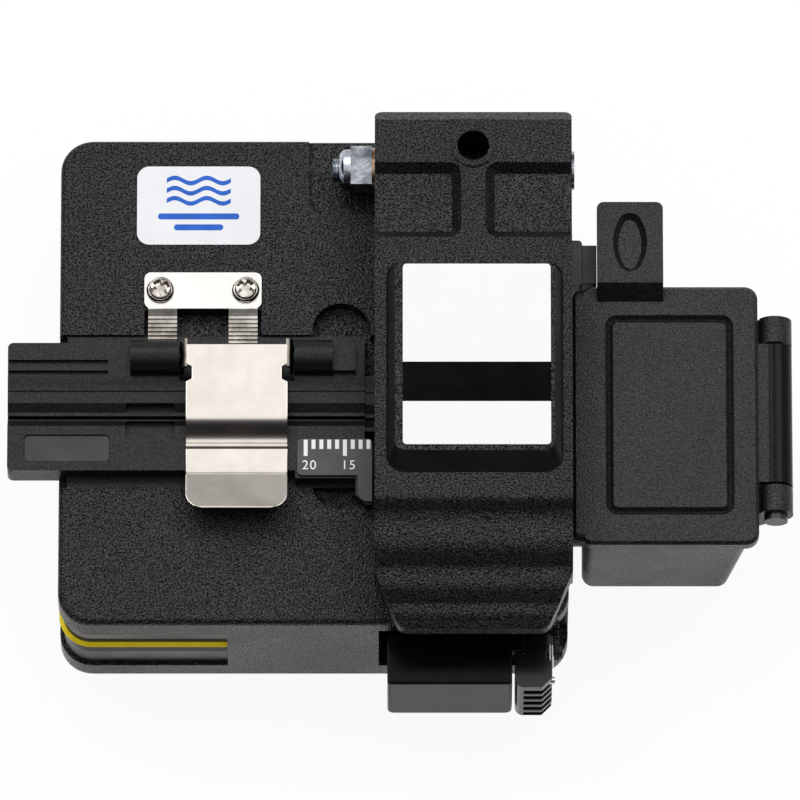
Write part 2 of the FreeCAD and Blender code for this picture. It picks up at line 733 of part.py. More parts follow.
def base_housing():
    body = base_outline(0, CAST_Z0, BASE_TOP)
    body = body.makeFillet(TOP_EDGE_RADIUS, edges_at_height(body, BASE_TOP))
    body = body.cut(base_outline(COVER_INSET, CAST_Z0, COVER_TOP))

    # empty left half, with a rib under the channel and posts for the screws
    hollow = block(BASE_LEFT + SHELL_WALL, OPENING_X0 - SHELL_WALL, BASE_FRONT + SHELL_WALL,
                   BASE_REAR - SHELL_WALL, COVER_TOP, FLOOR_Z - SHELL_WALL)
    middle_x = (BASE_LEFT + OPENING_X0) / 2
    hollow = hollow.cut(block(middle_x - RIB_THICKNESS / 2, middle_x + RIB_THICKNESS / 2,
                              BASE_FRONT, BASE_REAR, COVER_TOP + RIB_THICKNESS, BASE_TOP))
    body = body.cut(hollow)
    for x, y in cover_screw_places():
        post = cylinder_z(x, y, COVER_TOP, FLOOR_Z - SHELL_WALL, SCREW_POST_RADIUS)
        hole = cylinder_z(x, y, COVER_TOP, CAST_Z0 + SCREW_LENGTH, SCREW_SHANK_RADIUS)
        body = body.fuse(post).cut(hole)

    # carriage bay, open at the front and round the front right corner
    bay = block(OPENING_X0, BASE_RIGHT - SHELL_WALL, BLOCK_REAR, CAVITY_REAR_Y, COVER_TOP, CEILING_Z)
    mouth = block(OPENING_X0, BASE_RIGHT + SHELL_WALL, BASE_FRONT - SHELL_WALL, FRONT_POCKET_Y,
                  OPENING_Z0, OPENING_Z1)
    body = body.cut(bay.fuse(mouth))

    # ear that carries the latch pin, running back into the right wall
    ear = block(CHEEK_X0, CHEEK_X1, PIVOT_Y, FRONT_POCKET_Y + SHELL_WALL,
                PIVOT_Z - CHEEK_RADIUS, OPENING_Z1 + CHEEK_ROOT)
    ear = ear.fuse(cylinder_x(PIVOT_Y, PIVOT_Z, CHEEK_X0, CHEEK_X1, CHEEK_RADIUS))
    ear = ear.cut(block(CHEEK_X0, CHEEK_X1, PIVOT_Y - CHEEK_RADIUS, BASE_FRONT + TOP_EDGE_RADIUS,
                        PIVOT_Z + CHEEK_RADIUS, BASE_TOP))
    body = body.fuse(ear)
    body = body.cut(cylinder_x(PIVOT_Y, PIVOT_Z, CHEEK_X0, CHEEK_X1, LATCH_PIN_RADIUS))
    claw_slot = block(STEM_X0 - CLAW_CLEARANCE, STEM_X1 + CLAW_CLEARANCE, BASE_FRONT - SHELL_WALL,
                      CLAW_Y1 + 3 * CLAW_CLEARANCE, CEILING_Z, BASE_TOP + TOP_EDGE_RADIUS)
    body = body.cut(claw_slot)

    # channel for the fibre holder with its finger notches
    channel = block(BASE_LEFT - SHELL_WALL, CHANNEL_X1, CHANNEL_Y0, CHANNEL_Y1, FLOOR_Z, BASE_TOP + 1)
    front_notch = cylinder_z(NOTCH_X, CHANNEL_Y0 + NOTCH_CENTRE_SHIFT, FLOOR_Z, BASE_TOP + 1, NOTCH_RADIUS)
    rear_notch = cylinder_z(NOTCH_X, CHANNEL_Y1 + NOTCH_CENTRE_SHIFT, FLOOR_Z, BASE_TOP + 1, NOTCH_RADIUS)
    leg_notch = block(HOLD_X0, HOLD_X1, CHANNEL_Y1, HOLD_Y0, FLOOR_Z, BASE_TOP + 1)
    body = body.cut(channel.multiFuse([front_notch, rear_notch, leg_notch]))

    # blade slot and the seats of the lower clamps
    slot = block(BLADE_X - CLAMP_INNER + BLADE_SLOT_INSET, BLADE_X + CLAMP_INNER - BLADE_SLOT_INSET,
                 BLADE_Y - BLADE_RADIUS, BLADE_Y + CARRIAGE_TRAVEL + BLADE_RADIUS, CEILING_Z, BASE_TOP + 1)
    seat = block(BLADE_X - CLAMP_OUTER - CLAMP_SEAT_CLEARANCE, BLADE_X + CLAMP_OUTER + CLAMP_SEAT_CLEARANCE,
                 CLAMP_Y0 - CLAMP_SEAT_CLEARANCE, CLAMP_Y1 + CLAMP_SEAT_CLEARANCE,
                 CLAMP_SEAT_Z, BASE_TOP + 1)
    body = body.cut(slot.fuse(seat))

    # sunk corner for the lever hinge, and the lug between the lever's ears
    pocket_floor = BASE_TOP - HINGE_POCKET_DEPTH
    pocket = rounded_plate(LEVER_LEFT - HINGE_POCKET_LENGTH, BASE_RIGHT + HINGE_POCKET_LENGTH,
                           BASE_REAR - HINGE_POCKET_SETBACK, BASE_REAR + HINGE_POCKET_SETBACK,
                           pocket_floor, BASE_TOP + 1, HINGE_POCKET_RADIUS)
    body = body.cut(pocket)
    lug_x0 = LEVER_LEFT + LEVER_EAR_WIDTH + HINGE_SIDE_CLEARANCE
    lug_x1 = LEVER_RIGHT - LEVER_EAR_WIDTH - HINGE_SIDE_CLEARANCE
    lug = cylinder_x(HINGE_Y, HINGE_Z, lug_x0, lug_x1, HINGE_LUG_RADIUS)
    web = block(lug_x0, lug_x1, HINGE_Y - HINGE_LUG_RADIUS, HINGE_Y + HINGE_WEB_REAR, pocket_floor, HINGE_Z)
    body = body.multiFuse([lug, web])
    body = body.cut(cylinder_x(HINGE_Y, HINGE_Z, lug_x0, lug_x1, HINGE_BOLT_RADIUS))

    # recess for the trim band, tapped holes and the spring pin's socket
    body = body.cut(trim_ring(0, TRIM_RECESS, TRIM_BOTTOM, TRIM_HEIGHT, 0))
    for x in hold_screw_x():
        y = (HOLD_Y0 + HOLD_Y1) / 2
        body = body.cut(cylinder_z(x, y, hold_screw_end(), BASE_TOP, SCREW_SHANK_RADIUS))
    guide_end = CAVITY_REAR_Y + GUIDE_PIN_HOLD
    body = body.cut(cylinder_y(GUIDE_X, GUIDE_Z, CAVITY_REAR_Y, guide_end, GUIDE_PIN_RADIUS))
    for y in tray_screw_y():
        hole_x0 = BASE_RIGHT - TRAY_SCREW_HOLD
        body = body.cut(cylinder_x(y, TRAY_SCREW_Z, hole_x0, BASE_RIGHT, SCREW_SHANK_RADIUS))
    return body.removeSplitter()


def trim_ring(outer_inset, inner_inset, bottom, height, end_clearance):
    """Band that follows the front left corner between two depths below the skin."""
    z0 = CAST_Z0 + bottom
    z1 = z0 + height
    outer = base_outline(outer_inset, z0, z1)
    inner = base_outline(inner_inset, z0, z1)
    keep = block(BASE_LEFT, BASE_LEFT + TRIM_LENGTH - end_clearance,
                 BASE_FRONT, BASE_FRONT + TRIM_LENGTH - end_clearance, z0, z1)
    return outer.cut(inner).common(keep)


def side_trim():
    band = trim_ring(TRIM_FACE_DEPTH, TRIM_RECESS, TRIM_BOTTOM, TRIM_HEIGHT, 0)
    groove = trim_ring(STRIPE_FACE_DEPTH, (TRIM_FACE_DEPTH + TRIM_RECESS) / 2,
                       STRIPE_BOTTOM - ACCENT_HEIGHT, STRIPE_HEIGHT + ACCENT_HEIGHT, 0)
    return band.cut(groove)


def yellow_stripe():
    return trim_ring(STRIPE_FACE_DEPTH, (TRIM_FACE_DEPTH + TRIM_RECESS) / 2,
                     STRIPE_BOTTOM, STRIPE_HEIGHT, 0)


def gloss_band():
    return trim_ring(ACCENT_FACE_DEPTH, (TRIM_FACE_DEPTH + TRIM_RECESS) / 2,
                     STRIPE_BOTTOM - ACCENT_HEIGHT, ACCENT_HEIGHT, 0)


def bottom_cover():
    cover = base_outline(COVER_INSET + COVER_CLEARANCE, CAST_Z0, COVER_TOP)
    for x, y in cover_screw_places():
        cover = cover.cut(cylinder_z(x, y, CAST_Z0, COVER_TOP, SCREW_SHANK_RADIUS))
        cover = cover.cut(cylinder_z(x, y, CAST_Z0, CAST_Z0 + SCREW_HEAD_HEIGHT, SCREW_HEAD_RADIUS))
    return cover


def bottom_cover_screws():
    screws = []
    for x, y in cover_screw_places():
        head = cylinder_z(x, y, CAST_Z0, CAST_Z0 + SCREW_HEAD_HEIGHT, SCREW_HEAD_RADIUS)
        shank = cylinder_z(x, y, CAST_Z0 + SCREW_HEAD_HEIGHT, CAST_Z0 + SCREW_LENGTH, SCREW_SHANK_RADIUS)
        screws.append(head.fuse(shank).removeSplitter())
    return Part.makeCompound(screws)


def rubber_pad():
    pad = base_outline(PAD_INSET, 0, PAD_THICKNESS)
    for x, y in cover_screw_places():
        pad = pad.cut(cylinder_z(x, y, 0, PAD_THICKNESS, PAD_HOLE_RADIUS))
    return pad


# ---------------------------------------------------------------- parts on the base
def hold_screw_x():
    middle = (HOLD_X0 + HOLD_X1) / 2
    return (middle - HOLD_SCREW_SPACING / 2, middle + HOLD_SCREW_SPACING / 2)


def hold_screw_end():
    return BASE_TOP + HOLD_PLATE_THICKNESS - SCREW_LENGTH * HOLD_SCREW_SHARE


def hold_down_spring():
    top = BASE_TOP + HOLD_PLATE_THICKNESS
    plate = rounded_plate(HOLD_X0, HOLD_X1, HOLD_Y0, HOLD_Y1, BASE_TOP, top, HOLD_CORNER_RADIUS)
    tip_y = HOLDER_REAR_Y + HOLD_LEG_TIP_GAP
    foot_z = HOLDER_Z0 + HOLDER_FOOT_HEIGHT + HOLD_LEG_GAP
    root_y = HOLD_Y0 + HOLD_CORNER_RADIUS
    leg_line = [(root_y, BASE_TOP), (root_y, top), (HOLD_Y0, top),
                (tip_y, foot_z + HOLD_PLATE_THICKNESS), (tip_y, foot_z), (HOLD_Y0, BASE_TOP)]
    near = HOLD_X0 + HOLD_LEG_INSET
    far = HOLD_X1 - HOLD_LEG_INSET
    left_leg = extrude_x(leg_line, near, near + HOLD_LEG_WIDTH)
    right_leg = extrude_x(leg_line, far - HOLD_LEG_WIDTH, far)
    spring = plate.multiFuse([left_leg, right_leg])
    for x in hold_screw_x():
        spring = spring.cut(cylinder_z(x, (HOLD_Y0 + HOLD_Y1) / 2, BASE_TOP, top, SCREW_SHANK_RADIUS))
    return spring.removeSplitter()


def hold_down_screws():
    screws = []
    for x in hold_screw_x():
        screws.append(panhead_screw(x, (HOLD_Y0 + HOLD_Y1) / 2, BASE_TOP + HOLD_PLATE_THICKNESS,
                                    hold_screw_end(), HOLD_SCREW_HEAD_RADIUS, HOLD_SCREW_HEAD_HEIGHT,
                                    SCREW_SHANK_RADIUS))
    return Part.makeCompound(screws)


def sticker():
    x0 = BASE_LEFT + STICKER_LEFT_INSET
    y1 = BASE_REAR - STICKER_REAR_INSET
    return rounded_plate(x0, x0 + STICKER_LENGTH, y1 - STICKER_DEPTH, y1,
                         BASE_TOP, BASE_TOP + STICKER_THICKNESS, STICKER_CORNER_RADIUS)


def lower_clamp(side):
    inner = BLADE_X + side * CLAMP_INNER
    outer = BLADE_X + side * CLAMP_OUTER
    return block(min(inner, outer), max(inner, outer), CLAMP_Y0, CLAMP_Y1, CLAMP_SEAT_Z, LOWER_CLAMP_TOP)


def clamp_pad_pair(z0, z1):
    pads = []
    for side in (-1, 1):
        inner = BLADE_X + side * (CLAMP_INNER + CLAMP_PAD_INSET)
        outer = BLADE_X + side * (CLAMP_OUTER - CLAMP_PAD_INSET)
        pads.append(rounded_plate(min(inner, outer), max(inner, outer), CLAMP_Y0 + 1, CLAMP_Y1 - 1,
                                  z0, z1, CLAMP_PAD_CORNER))
    return Part.makeCompound(pads)


def rail_x():
    return (SLIDE_X0 + RAIL_INSET, SLIDE_X1 - RAIL_INSET)


def slide_rails():
    rails = []
    for x in rail_x():
        rails.append(block(x - RAIL_WIDTH / 2, x + RAIL_WIDTH / 2, CAVITY_REAR_Y - RAIL_LENGTH,
                           CAVITY_REAR_Y, COVER_TOP, RAIL_TOP))
    return Part.makeCompound(rails)


def carriage_spring():
    length = CAVITY_REAR_Y - SLIDE_REAR - SPRING_WIRE - 2 * SPRING_END_GAP
    front = SLIDE_REAR + SPRING_WIRE / 2 + SPRING_END_GAP
    return coil(GUIDE_X, front, GUIDE_Z, SPRING_COIL_RADIUS, SPRING_WIRE,
                length / SPRING_TURNS, SPRING_TURNS, V(0, 1, 0))


def spring_guide_pin():
    front = SLIDE_REAR - LUG_THICKNESS - GUIDE_PIN_LEAD
    return cylinder_y(GUIDE_X, GUIDE_Z, front, CAVITY_REAR_Y + GUIDE_PIN_HOLD, GUIDE_PIN_RADIUS)


def hinge_bolt():
    head_x1 = LEVER_RIGHT + BOLT_HEAD_PROUD
    head_x0 = head_x1 - BOLT_HEAD_HEIGHT
    tip = LEVER_LEFT - WASHER_THICKNESS - NUT_HEX_LENGTH - NUT_COLLAR_LENGTH - BOLT_TIP_LENGTH
    shank = cylinder_x(HINGE_Y, HINGE_Z, tip, head_x0, HINGE_BOLT_RADIUS)
    shank = shank.makeChamfer(BOLT_TIP_CHAMFER, edges_across_x(shank, tip))
    head = cylinder_x(HINGE_Y, HINGE_Z, head_x0, head_x1, BOLT_HEAD_RADIUS)
    socket_radius = BOLT_HEAD_RADIUS * SOCKET_RADIUS_SHARE
    corners = []
    for corner in range(6):
        angle = math.radians(60 * corner)
        corners.append((HINGE_Y + socket_radius * math.cos(angle), HINGE_Z + socket_radius * math.sin(angle)))
    socket = extrude_x(corners, head_x1 - BOLT_HEAD_HEIGHT * SOCKET_DEPTH_SHARE, head_x1)
    return shank.fuse(head.cut(socket)).removeSplitter()


def hinge_nut():
    x1 = LEVER_LEFT - WASHER_THICKNESS
    x0 = x1 - NUT_HEX_LENGTH
    circumradius = NUT_ACROSS_FLATS / math.sqrt(3)
    corners = []
    for corner in range(6):
        angle = math.radians(60 * corner + NUT_CLOCKING)
        corners.append((HINGE_Y + circumradius * math.cos(angle), HINGE_Z + circumradius * math.sin(angle)))
    hexagon = extrude_x(corners, x0, x1)
    collar = cylinder_x(HINGE_Y, HINGE_Z, x0 - NUT_COLLAR_LENGTH, x0, NUT_COLLAR_RADIUS)
    collar = collar.makeChamfer(NUT_COLLAR_ROUNDING, edges_across_x(collar, x0 - NUT_COLLAR_LENGTH))
    bore = cylinder_x(HINGE_Y, HINGE_Z, x0 - NUT_COLLAR_LENGTH, x1, HINGE_BOLT_RADIUS)
    return hexagon.fuse(collar).cut(bore)


def hinge_washer():
    x0 = LEVER_LEFT - WASHER_THICKNESS
    ring = cylinder_x(HINGE_Y, HINGE_Z, x0, LEVER_LEFT, WASHER_RADIUS)
    return ring.cut(cylinder_x(HINGE_Y, HINGE_Z, x0, LEVER_LEFT, HINGE_BOLT_RADIUS))


# ---------------------------------------------------------------- lever body
def grip_points():
    """Shoulder and foot of each riser down the grip, from the flat top to the lip."""
    setbacks = GRIP_RISERS + (GRIP_RISER_RUN / 2,)
    treads = setbacks[0] - setbacks[-1] - GRIP_RISER_RUN * len(GRIP_RISERS)
    slope = (PLATEAU_Z - LIP_TOP - GRIP_RISER_DROP * len(setbacks)) / treads
    z = PLATEAU_Z
    foot_y = None
    points = []
    for setback in setbacks:
        shoulder_y = LEVER_FRONT + setback + GRIP_RISER_RUN / 2
        if foot_y is not None:
            fall = slope * (foot_y - shoulder_y)
            points.append(((foot_y + shoulder_y) / 2, z - fall / 2 + GRIP_CROWN))
            z -= fall
        points.append((shoulder_y, z))
        z -= GRIP_RISER_DROP
        foot_y = shoulder_y - GRIP_RISER_RUN
        points.append((foot_y, z))
    return points


def grip_height(y):
    """Height of the grip's surface at the given Y, between its points."""
    points = grip_points()
    for (y1, z1), (y0, z0) in zip(points, points[1:]):
        if y0 <= y <= y1:
            return z0 + (z1 - z0) * (y - y0) / (y1 - y0)
    return PLATEAU_Z


def lever_profile_face():
    """Side outline of the lever at its left face."""
    x = LEVER_LEFT
    ear = LEVER_EAR_RADIUS
    half = math.cos(math.pi / 4) * ear
    ear_bottom = (HINGE_Y, HINGE_Z - ear)
    ear_rear = (HINGE_Y + ear, HINGE_Z)
    edges = [arc_edge(ear_bottom, (HINGE_Y + half, HINGE_Z - half), ear_rear, x)]
    grip = grip_points()
    crest = (grip[0][0] + GRIP_RISER_RUN, PLATEAU_Z)
    edges += open_line([ear_rear, (LEVER_REAR, HINGE_Z + ear / 2), (LEVER_REAR, PLATEAU_Z - REAR_BEVEL),
                        (LEVER_REAR - REAR_BEVEL, PLATEAU_Z), crest], x)
    wave = Part.BSplineCurve()
    wave.interpolate(Points=[V(x, y, z) for y, z in [crest] + grip[1:]],
                     InitialTangent=V(0, -1, 0), FinalTangent=V(0, -1, -1))
    edges.append(wave.toShape())
    under = (GRIP_UNDER_Y, grip_height(GRIP_UNDER_Y) - GRIP_THICKNESS)
    edges += open_line([grip[-1], (LEVER_FRONT, LIP_BOTTOM), under, (SKIRT_Y, LEVER_BOTTOM),
                        (HINGE_Y - ear, LEVER_BOTTOM), ear_bottom], x)
    return Part.Face(Part.Wire(edges))


def lever_plan():
    points = [(LEVER_LEFT, LEVER_REAR), (LEVER_RIGHT, LEVER_REAR),
              (LEVER_RIGHT, LEVER_FRONT + FRONT_CHAMFER_Y),
              (LEVER_RIGHT - FRONT_CHAMFER_X, LEVER_FRONT), (LEVER_LEFT + FRONT_CHAMFER_X, LEVER_FRONT),
              (LEVER_LEFT, LEVER_FRONT + FRONT_CHAMFER_Y)]
    plan = extrude_z(points, CAST_Z0, LEVER_TOP + 1)
    rear = [edge for edge in upright_edges(plan) if edge.CenterOfMass.y > LEVER_REAR - 1]
    plan = plan.makeFillet(LEVER_REAR_RADIUS, rear)
    front = [edge for edge in upright_edges(plan) if edge.CenterOfMass.y < 0]
    return plan.makeFillet(LEVER_FRONT_RADIUS, front)


def lever_body():
    body = lever_profile_face().extrude(V(LEVER_WIDTH, 0, 0)).common(lever_plan())

    # hollow underside
    ceiling = PLATEAU_Z - LEVER_ROOF
    inner_rear = HINGE_Y - LEVER_EAR_RADIUS - EAR_BACKING
    inner_front = SKIRT_Y + LEVER_WALL
    inside = [(inner_rear, BASE_TOP - 1), (inner_rear, ceiling), (grip_points()[0][0], ceiling),
              (inner_front, grip_height(inner_front) - LEVER_ROOF), (inner_front, BASE_TOP - 1)]
    body = body.cut(extrude_x(inside, LEVER_LEFT + LEVER_WALL, LEVER_RIGHT - LEVER_WALL))
    ear_x0 = LEVER_LEFT + LEVER_EAR_WIDTH
    ear_x1 = LEVER_RIGHT - LEVER_EAR_WIDTH
    swing = HINGE_LUG_RADIUS + LUG_SWING_ROOM
    body = body.cut(cylinder_x(HINGE_Y, HINGE_Z, ear_x0, ear_x1, swing))
    body = body.cut(block(ear_x0, ear_x1, inner_rear - 1, HINGE_Y + swing, BASE_TOP - 2, HINGE_Z))
    body = body.cut(block(ear_x0, ear_x1, HINGE_Y, LEVER_REAR + 1, BASE_TOP - 2, HINGE_Z))

    # hinge bore with the counterbore for the bolt head
    bore = HINGE_BOLT_RADIUS + HINGE_RUNNING_CLEARANCE
    body = body.cut(cylinder_x(HINGE_Y, HINGE_Z, LEVER_LEFT, LEVER_RIGHT, bore))
    head_x0 = LEVER_RIGHT + BOLT_HEAD_PROUD - BOLT_HEAD_HEIGHT - HINGE_RUNNING_CLEARANCE
    seat_radius = BOLT_HEAD_RADIUS + BOLT_HEAD_CLEARANCE
    body = body.cut(cylinder_x(HINGE_Y, HINGE_Z, head_x0, LEVER_RIGHT, seat_radius))

    # room for the fibre holder's tongue and the fibre under the left wall
    body = body.cut(block(LEVER_LEFT - 1, LEVER_LEFT + LEVER_WALL + 1, tongue_y0() - TONGUE_ROOM,
                          tongue_y1() + TONGUE_ROOM, BASE_TOP, HOLDER_TOP + TONGUE_ROOM / 2))

    # two sloping-walled finger recesses and the raised seat round the eye
    recess_y1 = LEVER_REAR - PAD_RECESS_SETBACK
    recess_y0 = recess_y1 - PAD_RECESS_LENGTH
    floor = PLATEAU_Z - PAD_RECESS_DEPTH
    rib = PAD_RECESS_RIB / 2
    beyond = 2 * PAD_RECESS_DEPTH + PAD_RECESS_CORNER
    for x0, x1 in ((LEVER_LEFT - beyond, LEVER_MID - rib), (LEVER_MID + rib, LEVER_RIGHT + beyond)):
        body = body.cut(chamfered_pocket(x0, x1, recess_y0, recess_y1, floor, PLATEAU_Z, PAD_RECESS_CORNER))
    eye_y = LEVER_REAR - EYE_SETBACK
    boss_top = PLATEAU_Z + EYE_BOSS_RISE
    seat = cylinder_z(LEVER_MID, eye_y, PLATEAU_Z - 1, boss_top, EYE_BOSS_RADIUS)
    tail = block(LEVER_MID - EYE_BOSS_RADIUS, LEVER_MID + EYE_BOSS_RADIUS, eye_y, LEVER_REAR - REAR_BEVEL,
                 PLATEAU_Z - 1, boss_top)
    body = body.multiFuse([seat, tail])
    body = body.cut(cylinder_z(LEVER_MID, eye_y, HINGE_Z, boss_top, EYE_RADIUS))

    # raised plinth under the label, hook for the latch, boss for the clamp holder
    body = body.fuse(label_plinth())
    hook = [(HOOK_Y1, HOOK_Z0), (HOOK_TOE_Y, HOOK_Z0), (HOOK_TOE_Y, HOOK_Z1), (HOOK_Y1, HOOK_Z1),
            (HOOK_Y1, LIP_TOP + 1), (HOOK_Y1 - HOOK_THICKNESS, LIP_TOP + 1),
            (HOOK_Y1 - HOOK_THICKNESS, HOOK_Z0)]
    body = body.fuse(extrude_x(hook, STEM_X0 + CLAW_CLEARANCE, STEM_X1 - CLAW_CLEARANCE))
    body = body.fuse(clamp_boss(ceiling))
    return body.removeSplitter()


def clamp_boss(ceiling):
    """Boss under the roof that the upper clamps bolt to."""
    return block(BLADE_X - CLAMP_OUTER - CLAMP_BOSS_MARGIN, BLADE_X + CLAMP_OUTER + CLAMP_BOSS_MARGIN,
                 CLAMP_Y0 + 1, CLAMP_Y1 - 1, UPPER_CLAMP_BOTTOM + UPPER_CLAMP_HEIGHT,
                 ceiling + CLAMP_BOSS_ROOT)


def label_plinth():
    """Block with sloping sides, sunk a little into the flat top."""
    foot_z = PLATEAU_Z - PLINTH_SUNK
    spread = (LEVER_TOP - foot_z) / PLINTH_RISE
    half = LABEL_WIDTH / 2 + PLINTH_MARGIN
    sections = []
    for z, share in ((foot_z, spread), (LEVER_TOP, 0)):
        side = PLINTH_SIDE_RUN * share
        plate = rounded_plate(PLINTH_X - half - side, PLINTH_X + half + side,
                              PLINTH_FRONT_Y - PLINTH_FRONT_RUN * share,
                              PLINTH_REAR_Y + PLINTH_REAR_RUN * share, z, z + 1, PLINTH_CORNER_RADIUS + side)
        sections.append(Part.Wire(Part.__sortEdges__(edges_at_height(plate, z))))
    return Part.makeLoft(sections, True, True)


def label_plate():
    y1 = PLINTH_REAR_Y - PLINTH_MARGIN
    middle = LEVER_MID + LABEL_SHIFT
    half = LABEL_WIDTH / 2
    return rounded_plate(middle - half, middle + half, y1 - LABEL_LENGTH, y1, LEVER_TOP,
                         LEVER_TOP + LABEL_THICKNESS, LABEL_CORNER_RADIUS)


def upper_clamp(side):
    inner = BLADE_X + side * CLAMP_INNER
    outer = BLADE_X + side * CLAMP_OUTER
    top = UPPER_CLAMP_BOTTOM + UPPER_CLAMP_HEIGHT
    return block(min(inner, outer), max(inner, outer), CLAMP_Y0, CLAMP_Y1, UPPER_CLAMP_BOTTOM, top)


def anvil_places():
    """Underside and top of the anvil, and the top of its housing."""
    bottom = FIBRE_Z + ANVIL_LIFT
    return bottom, bottom + ANVIL_HEIGHT, UPPER_CLAMP_BOTTOM + UPPER_CLAMP_HEIGHT


def anvil_housing():
    bottom, anvil_top, top = anvil_places()
    side = ANVIL_WIDTH / 2 + ANVIL_SIDE_CLEARANCE
    length = ANVIL_DEPTH / 2 + ANVIL_SIDE_CLEARANCE
    wall = ANVIL_HOUSING_WALL
    z0 = bottom + ANVIL_HEIGHT * ANVIL_SHOWING
    body = block(BLADE_X - side - wall, BLADE_X + side + wall, FIBRE_Y - length - 2 * wall,
                 FIBRE_Y + length + 2 * wall, z0, top)
    return body.cut(block(BLADE_X - side, BLADE_X + side, FIBRE_Y - length, FIBRE_Y + length, z0, top - wall))


def anvil():
    bottom, top, housing_top = anvil_places()
    half = ANVIL_WIDTH / 2
    tip = half / 2
    line = [(BLADE_X - tip, bottom), (BLADE_X + tip, bottom), (BLADE_X + half, bottom + half),
            (BLADE_X + half, top), (BLADE_X - half, top), (BLADE_X - half, bottom + half)]
    return extrude_y(line, FIBRE_Y - ANVIL_DEPTH / 2, FIBRE_Y + ANVIL_DEPTH / 2)


def anvil_spring():
    bottom, top, housing_top = anvil_places()
    length = housing_top - ANVIL_HOUSING_WALL - top - ANVIL_WIRE
    return coil(BLADE_X, FIBRE_Y, top + ANVIL_WIRE / 2, ANVIL_COIL_RADIUS, ANVIL_WIRE,
                length / ANVIL_COIL_TURNS, ANVIL_COIL_TURNS, V(0, 0, 1))


def tongue_y0():
    return FIBRE_Y - CABLE_CHANNEL_FRONT - TONGUE_MARGIN


def tongue_y1():
    return FIBRE_Y + CABLE_CHANNEL_REAR + TONGUE_MARGIN


# ---------------------------------------------------------------- carriage body
def push_block():
    front = block(BLOCK_X0, BLOCK_X1, BLOCK_FRONT, BLOCK_REAR, BLOCK_Z0, BLOCK_Z1)
    lengthwise = []
    for edge in front.Edges:
        box = edge.BoundBox
        if box.XLength < TOL and box.ZLength < TOL and box.ZMin < BLOCK_Z0 + TOL:
            lengthwise.append(edge)
    front = front.makeFillet(BLOCK_CORNER_RADIUS, lengthwise)
    face_edges = [edge for edge in front.Edges if edge.BoundBox.YMax < BLOCK_FRONT + TOL]
    front = front.makeFillet(BLOCK_FACE_ROUNDING, face_edges)
    flange = block(BLOCK_X0, FLANGE_X1, FLANGE_FRONT, BLOCK_REAR, BLOCK_Z1 - FLANGE_THICKNESS, BLOCK_Z1)
    return front.fuse(flange).removeSplitter()


def blade_slide():
    plate = block(SLIDE_X0, SLIDE_X1, BLOCK_REAR, SLIDE_REAR, SLIDE_Z0, SLIDE_Z1)
    reach = BLADE_RADIUS + BLADE_SLOT_CLEARANCE
    side = BLADE_SLOT_WIDTH / 2
    slot = block(BLADE_X - side, BLADE_X + side, BLADE_Y - reach, BLADE_Y + reach, SLIDE_Z0, SLIDE_Z1)
    plate = plate.cut(slot)
    inner_face = BLADE_X - BLADE_THICKNESS / 2 - BLADE_SIDE_GAP
    post = block(inner_face - UPRIGHT_WIDTH, inner_face, BLADE_Y - UPRIGHT_DEPTH / 2,
                 BLADE_Y + UPRIGHT_DEPTH / 2, SLIDE_Z1, BLADE_Z + UPRIGHT_SHOULDER)
    top_edges = [edge for edge in edges_at_height(post, BLADE_Z + UPRIGHT_SHOULDER)
                 if edge.BoundBox.YLength < TOL]
    post = post.makeChamfer(UPRIGHT_CHAMFER, top_edges)
    lug_y0 = SLIDE_REAR - LUG_THICKNESS
    lug = block(GUIDE_X - LUG_REACH, SLIDE_X1, lug_y0, SLIDE_REAR,
                SLIDE_Z1, GUIDE_Z + SPRING_COIL_RADIUS + LUG_RISE)
    body = plate.multiFuse([post, lug])
    body = body.cut(cylinder_x(BLADE_Y, BLADE_Z, inner_face - UPRIGHT_WIDTH, inner_face, AXLE_RADIUS))
    body = body.cut(cylinder_y(GUIDE_X, GUIDE_Z, lug_y0, SLIDE_REAR, GUIDE_PIN_RADIUS + GUIDE_CLEARANCE))
    return body.removeSplitter()


def slide_bearings():
    bearings = []
    y0 = BLADE_Y - BEARING_LENGTH / 2 - BEARING_SHIFT
    for x in rail_x():
        half = BEARING_WIDTH / 2
        body = block(x - half, x + half, y0, y0 + BEARING_LENGTH, COVER_TOP + BEARING_FLOOR_GAP, SLIDE_Z0)
        groove = RAIL_WIDTH / 2 + RAIL_CLEARANCE
        groove_top = RAIL_TOP + RAIL_CLEARANCE
        body = body.cut(block(x - groove, x + groove, y0, y0 + BEARING_LENGTH, COVER_TOP, groove_top))
        bearings.append(body)
    return Part.makeCompound(bearings)


def blade_axle():
    inner_face = BLADE_X - BLADE_THICKNESS / 2 - BLADE_SIDE_GAP
    head_x0 = BLADE_X + BLADE_THICKNESS / 2 + BLADE_HUB_THICKNESS + BLADE_SIDE_GAP / 2
    shaft = cylinder_x(BLADE_Y, BLADE_Z, inner_face - UPRIGHT_WIDTH, head_x0, AXLE_RADIUS)
    head = cylinder_x(BLADE_Y, BLADE_Z, head_x0, head_x0 + AXLE_HEAD_THICKNESS, AXLE_RADIUS + AXLE_HEAD_EXTRA)
    return shaft.fuse(head).removeSplitter()


def blade_wheel():
    half = BLADE_THICKNESS / 2
    wheel = cylinder_x(BLADE_Y, BLADE_Z, BLADE_X - half, BLADE_X + half, BLADE_RADIUS)
    rims = [edge for edge in wheel.Edges if edge.BoundBox.XLength < TOL]
    wheel = wheel.makeChamfer(BLADE_EDGE_BEVEL, rims)
    bore_radius = AXLE_RADIUS + BLADE_BORE_CLEARANCE
    return wheel.cut(cylinder_x(BLADE_Y, BLADE_Z, BLADE_X - half, BLADE_X + half, bore_radius))


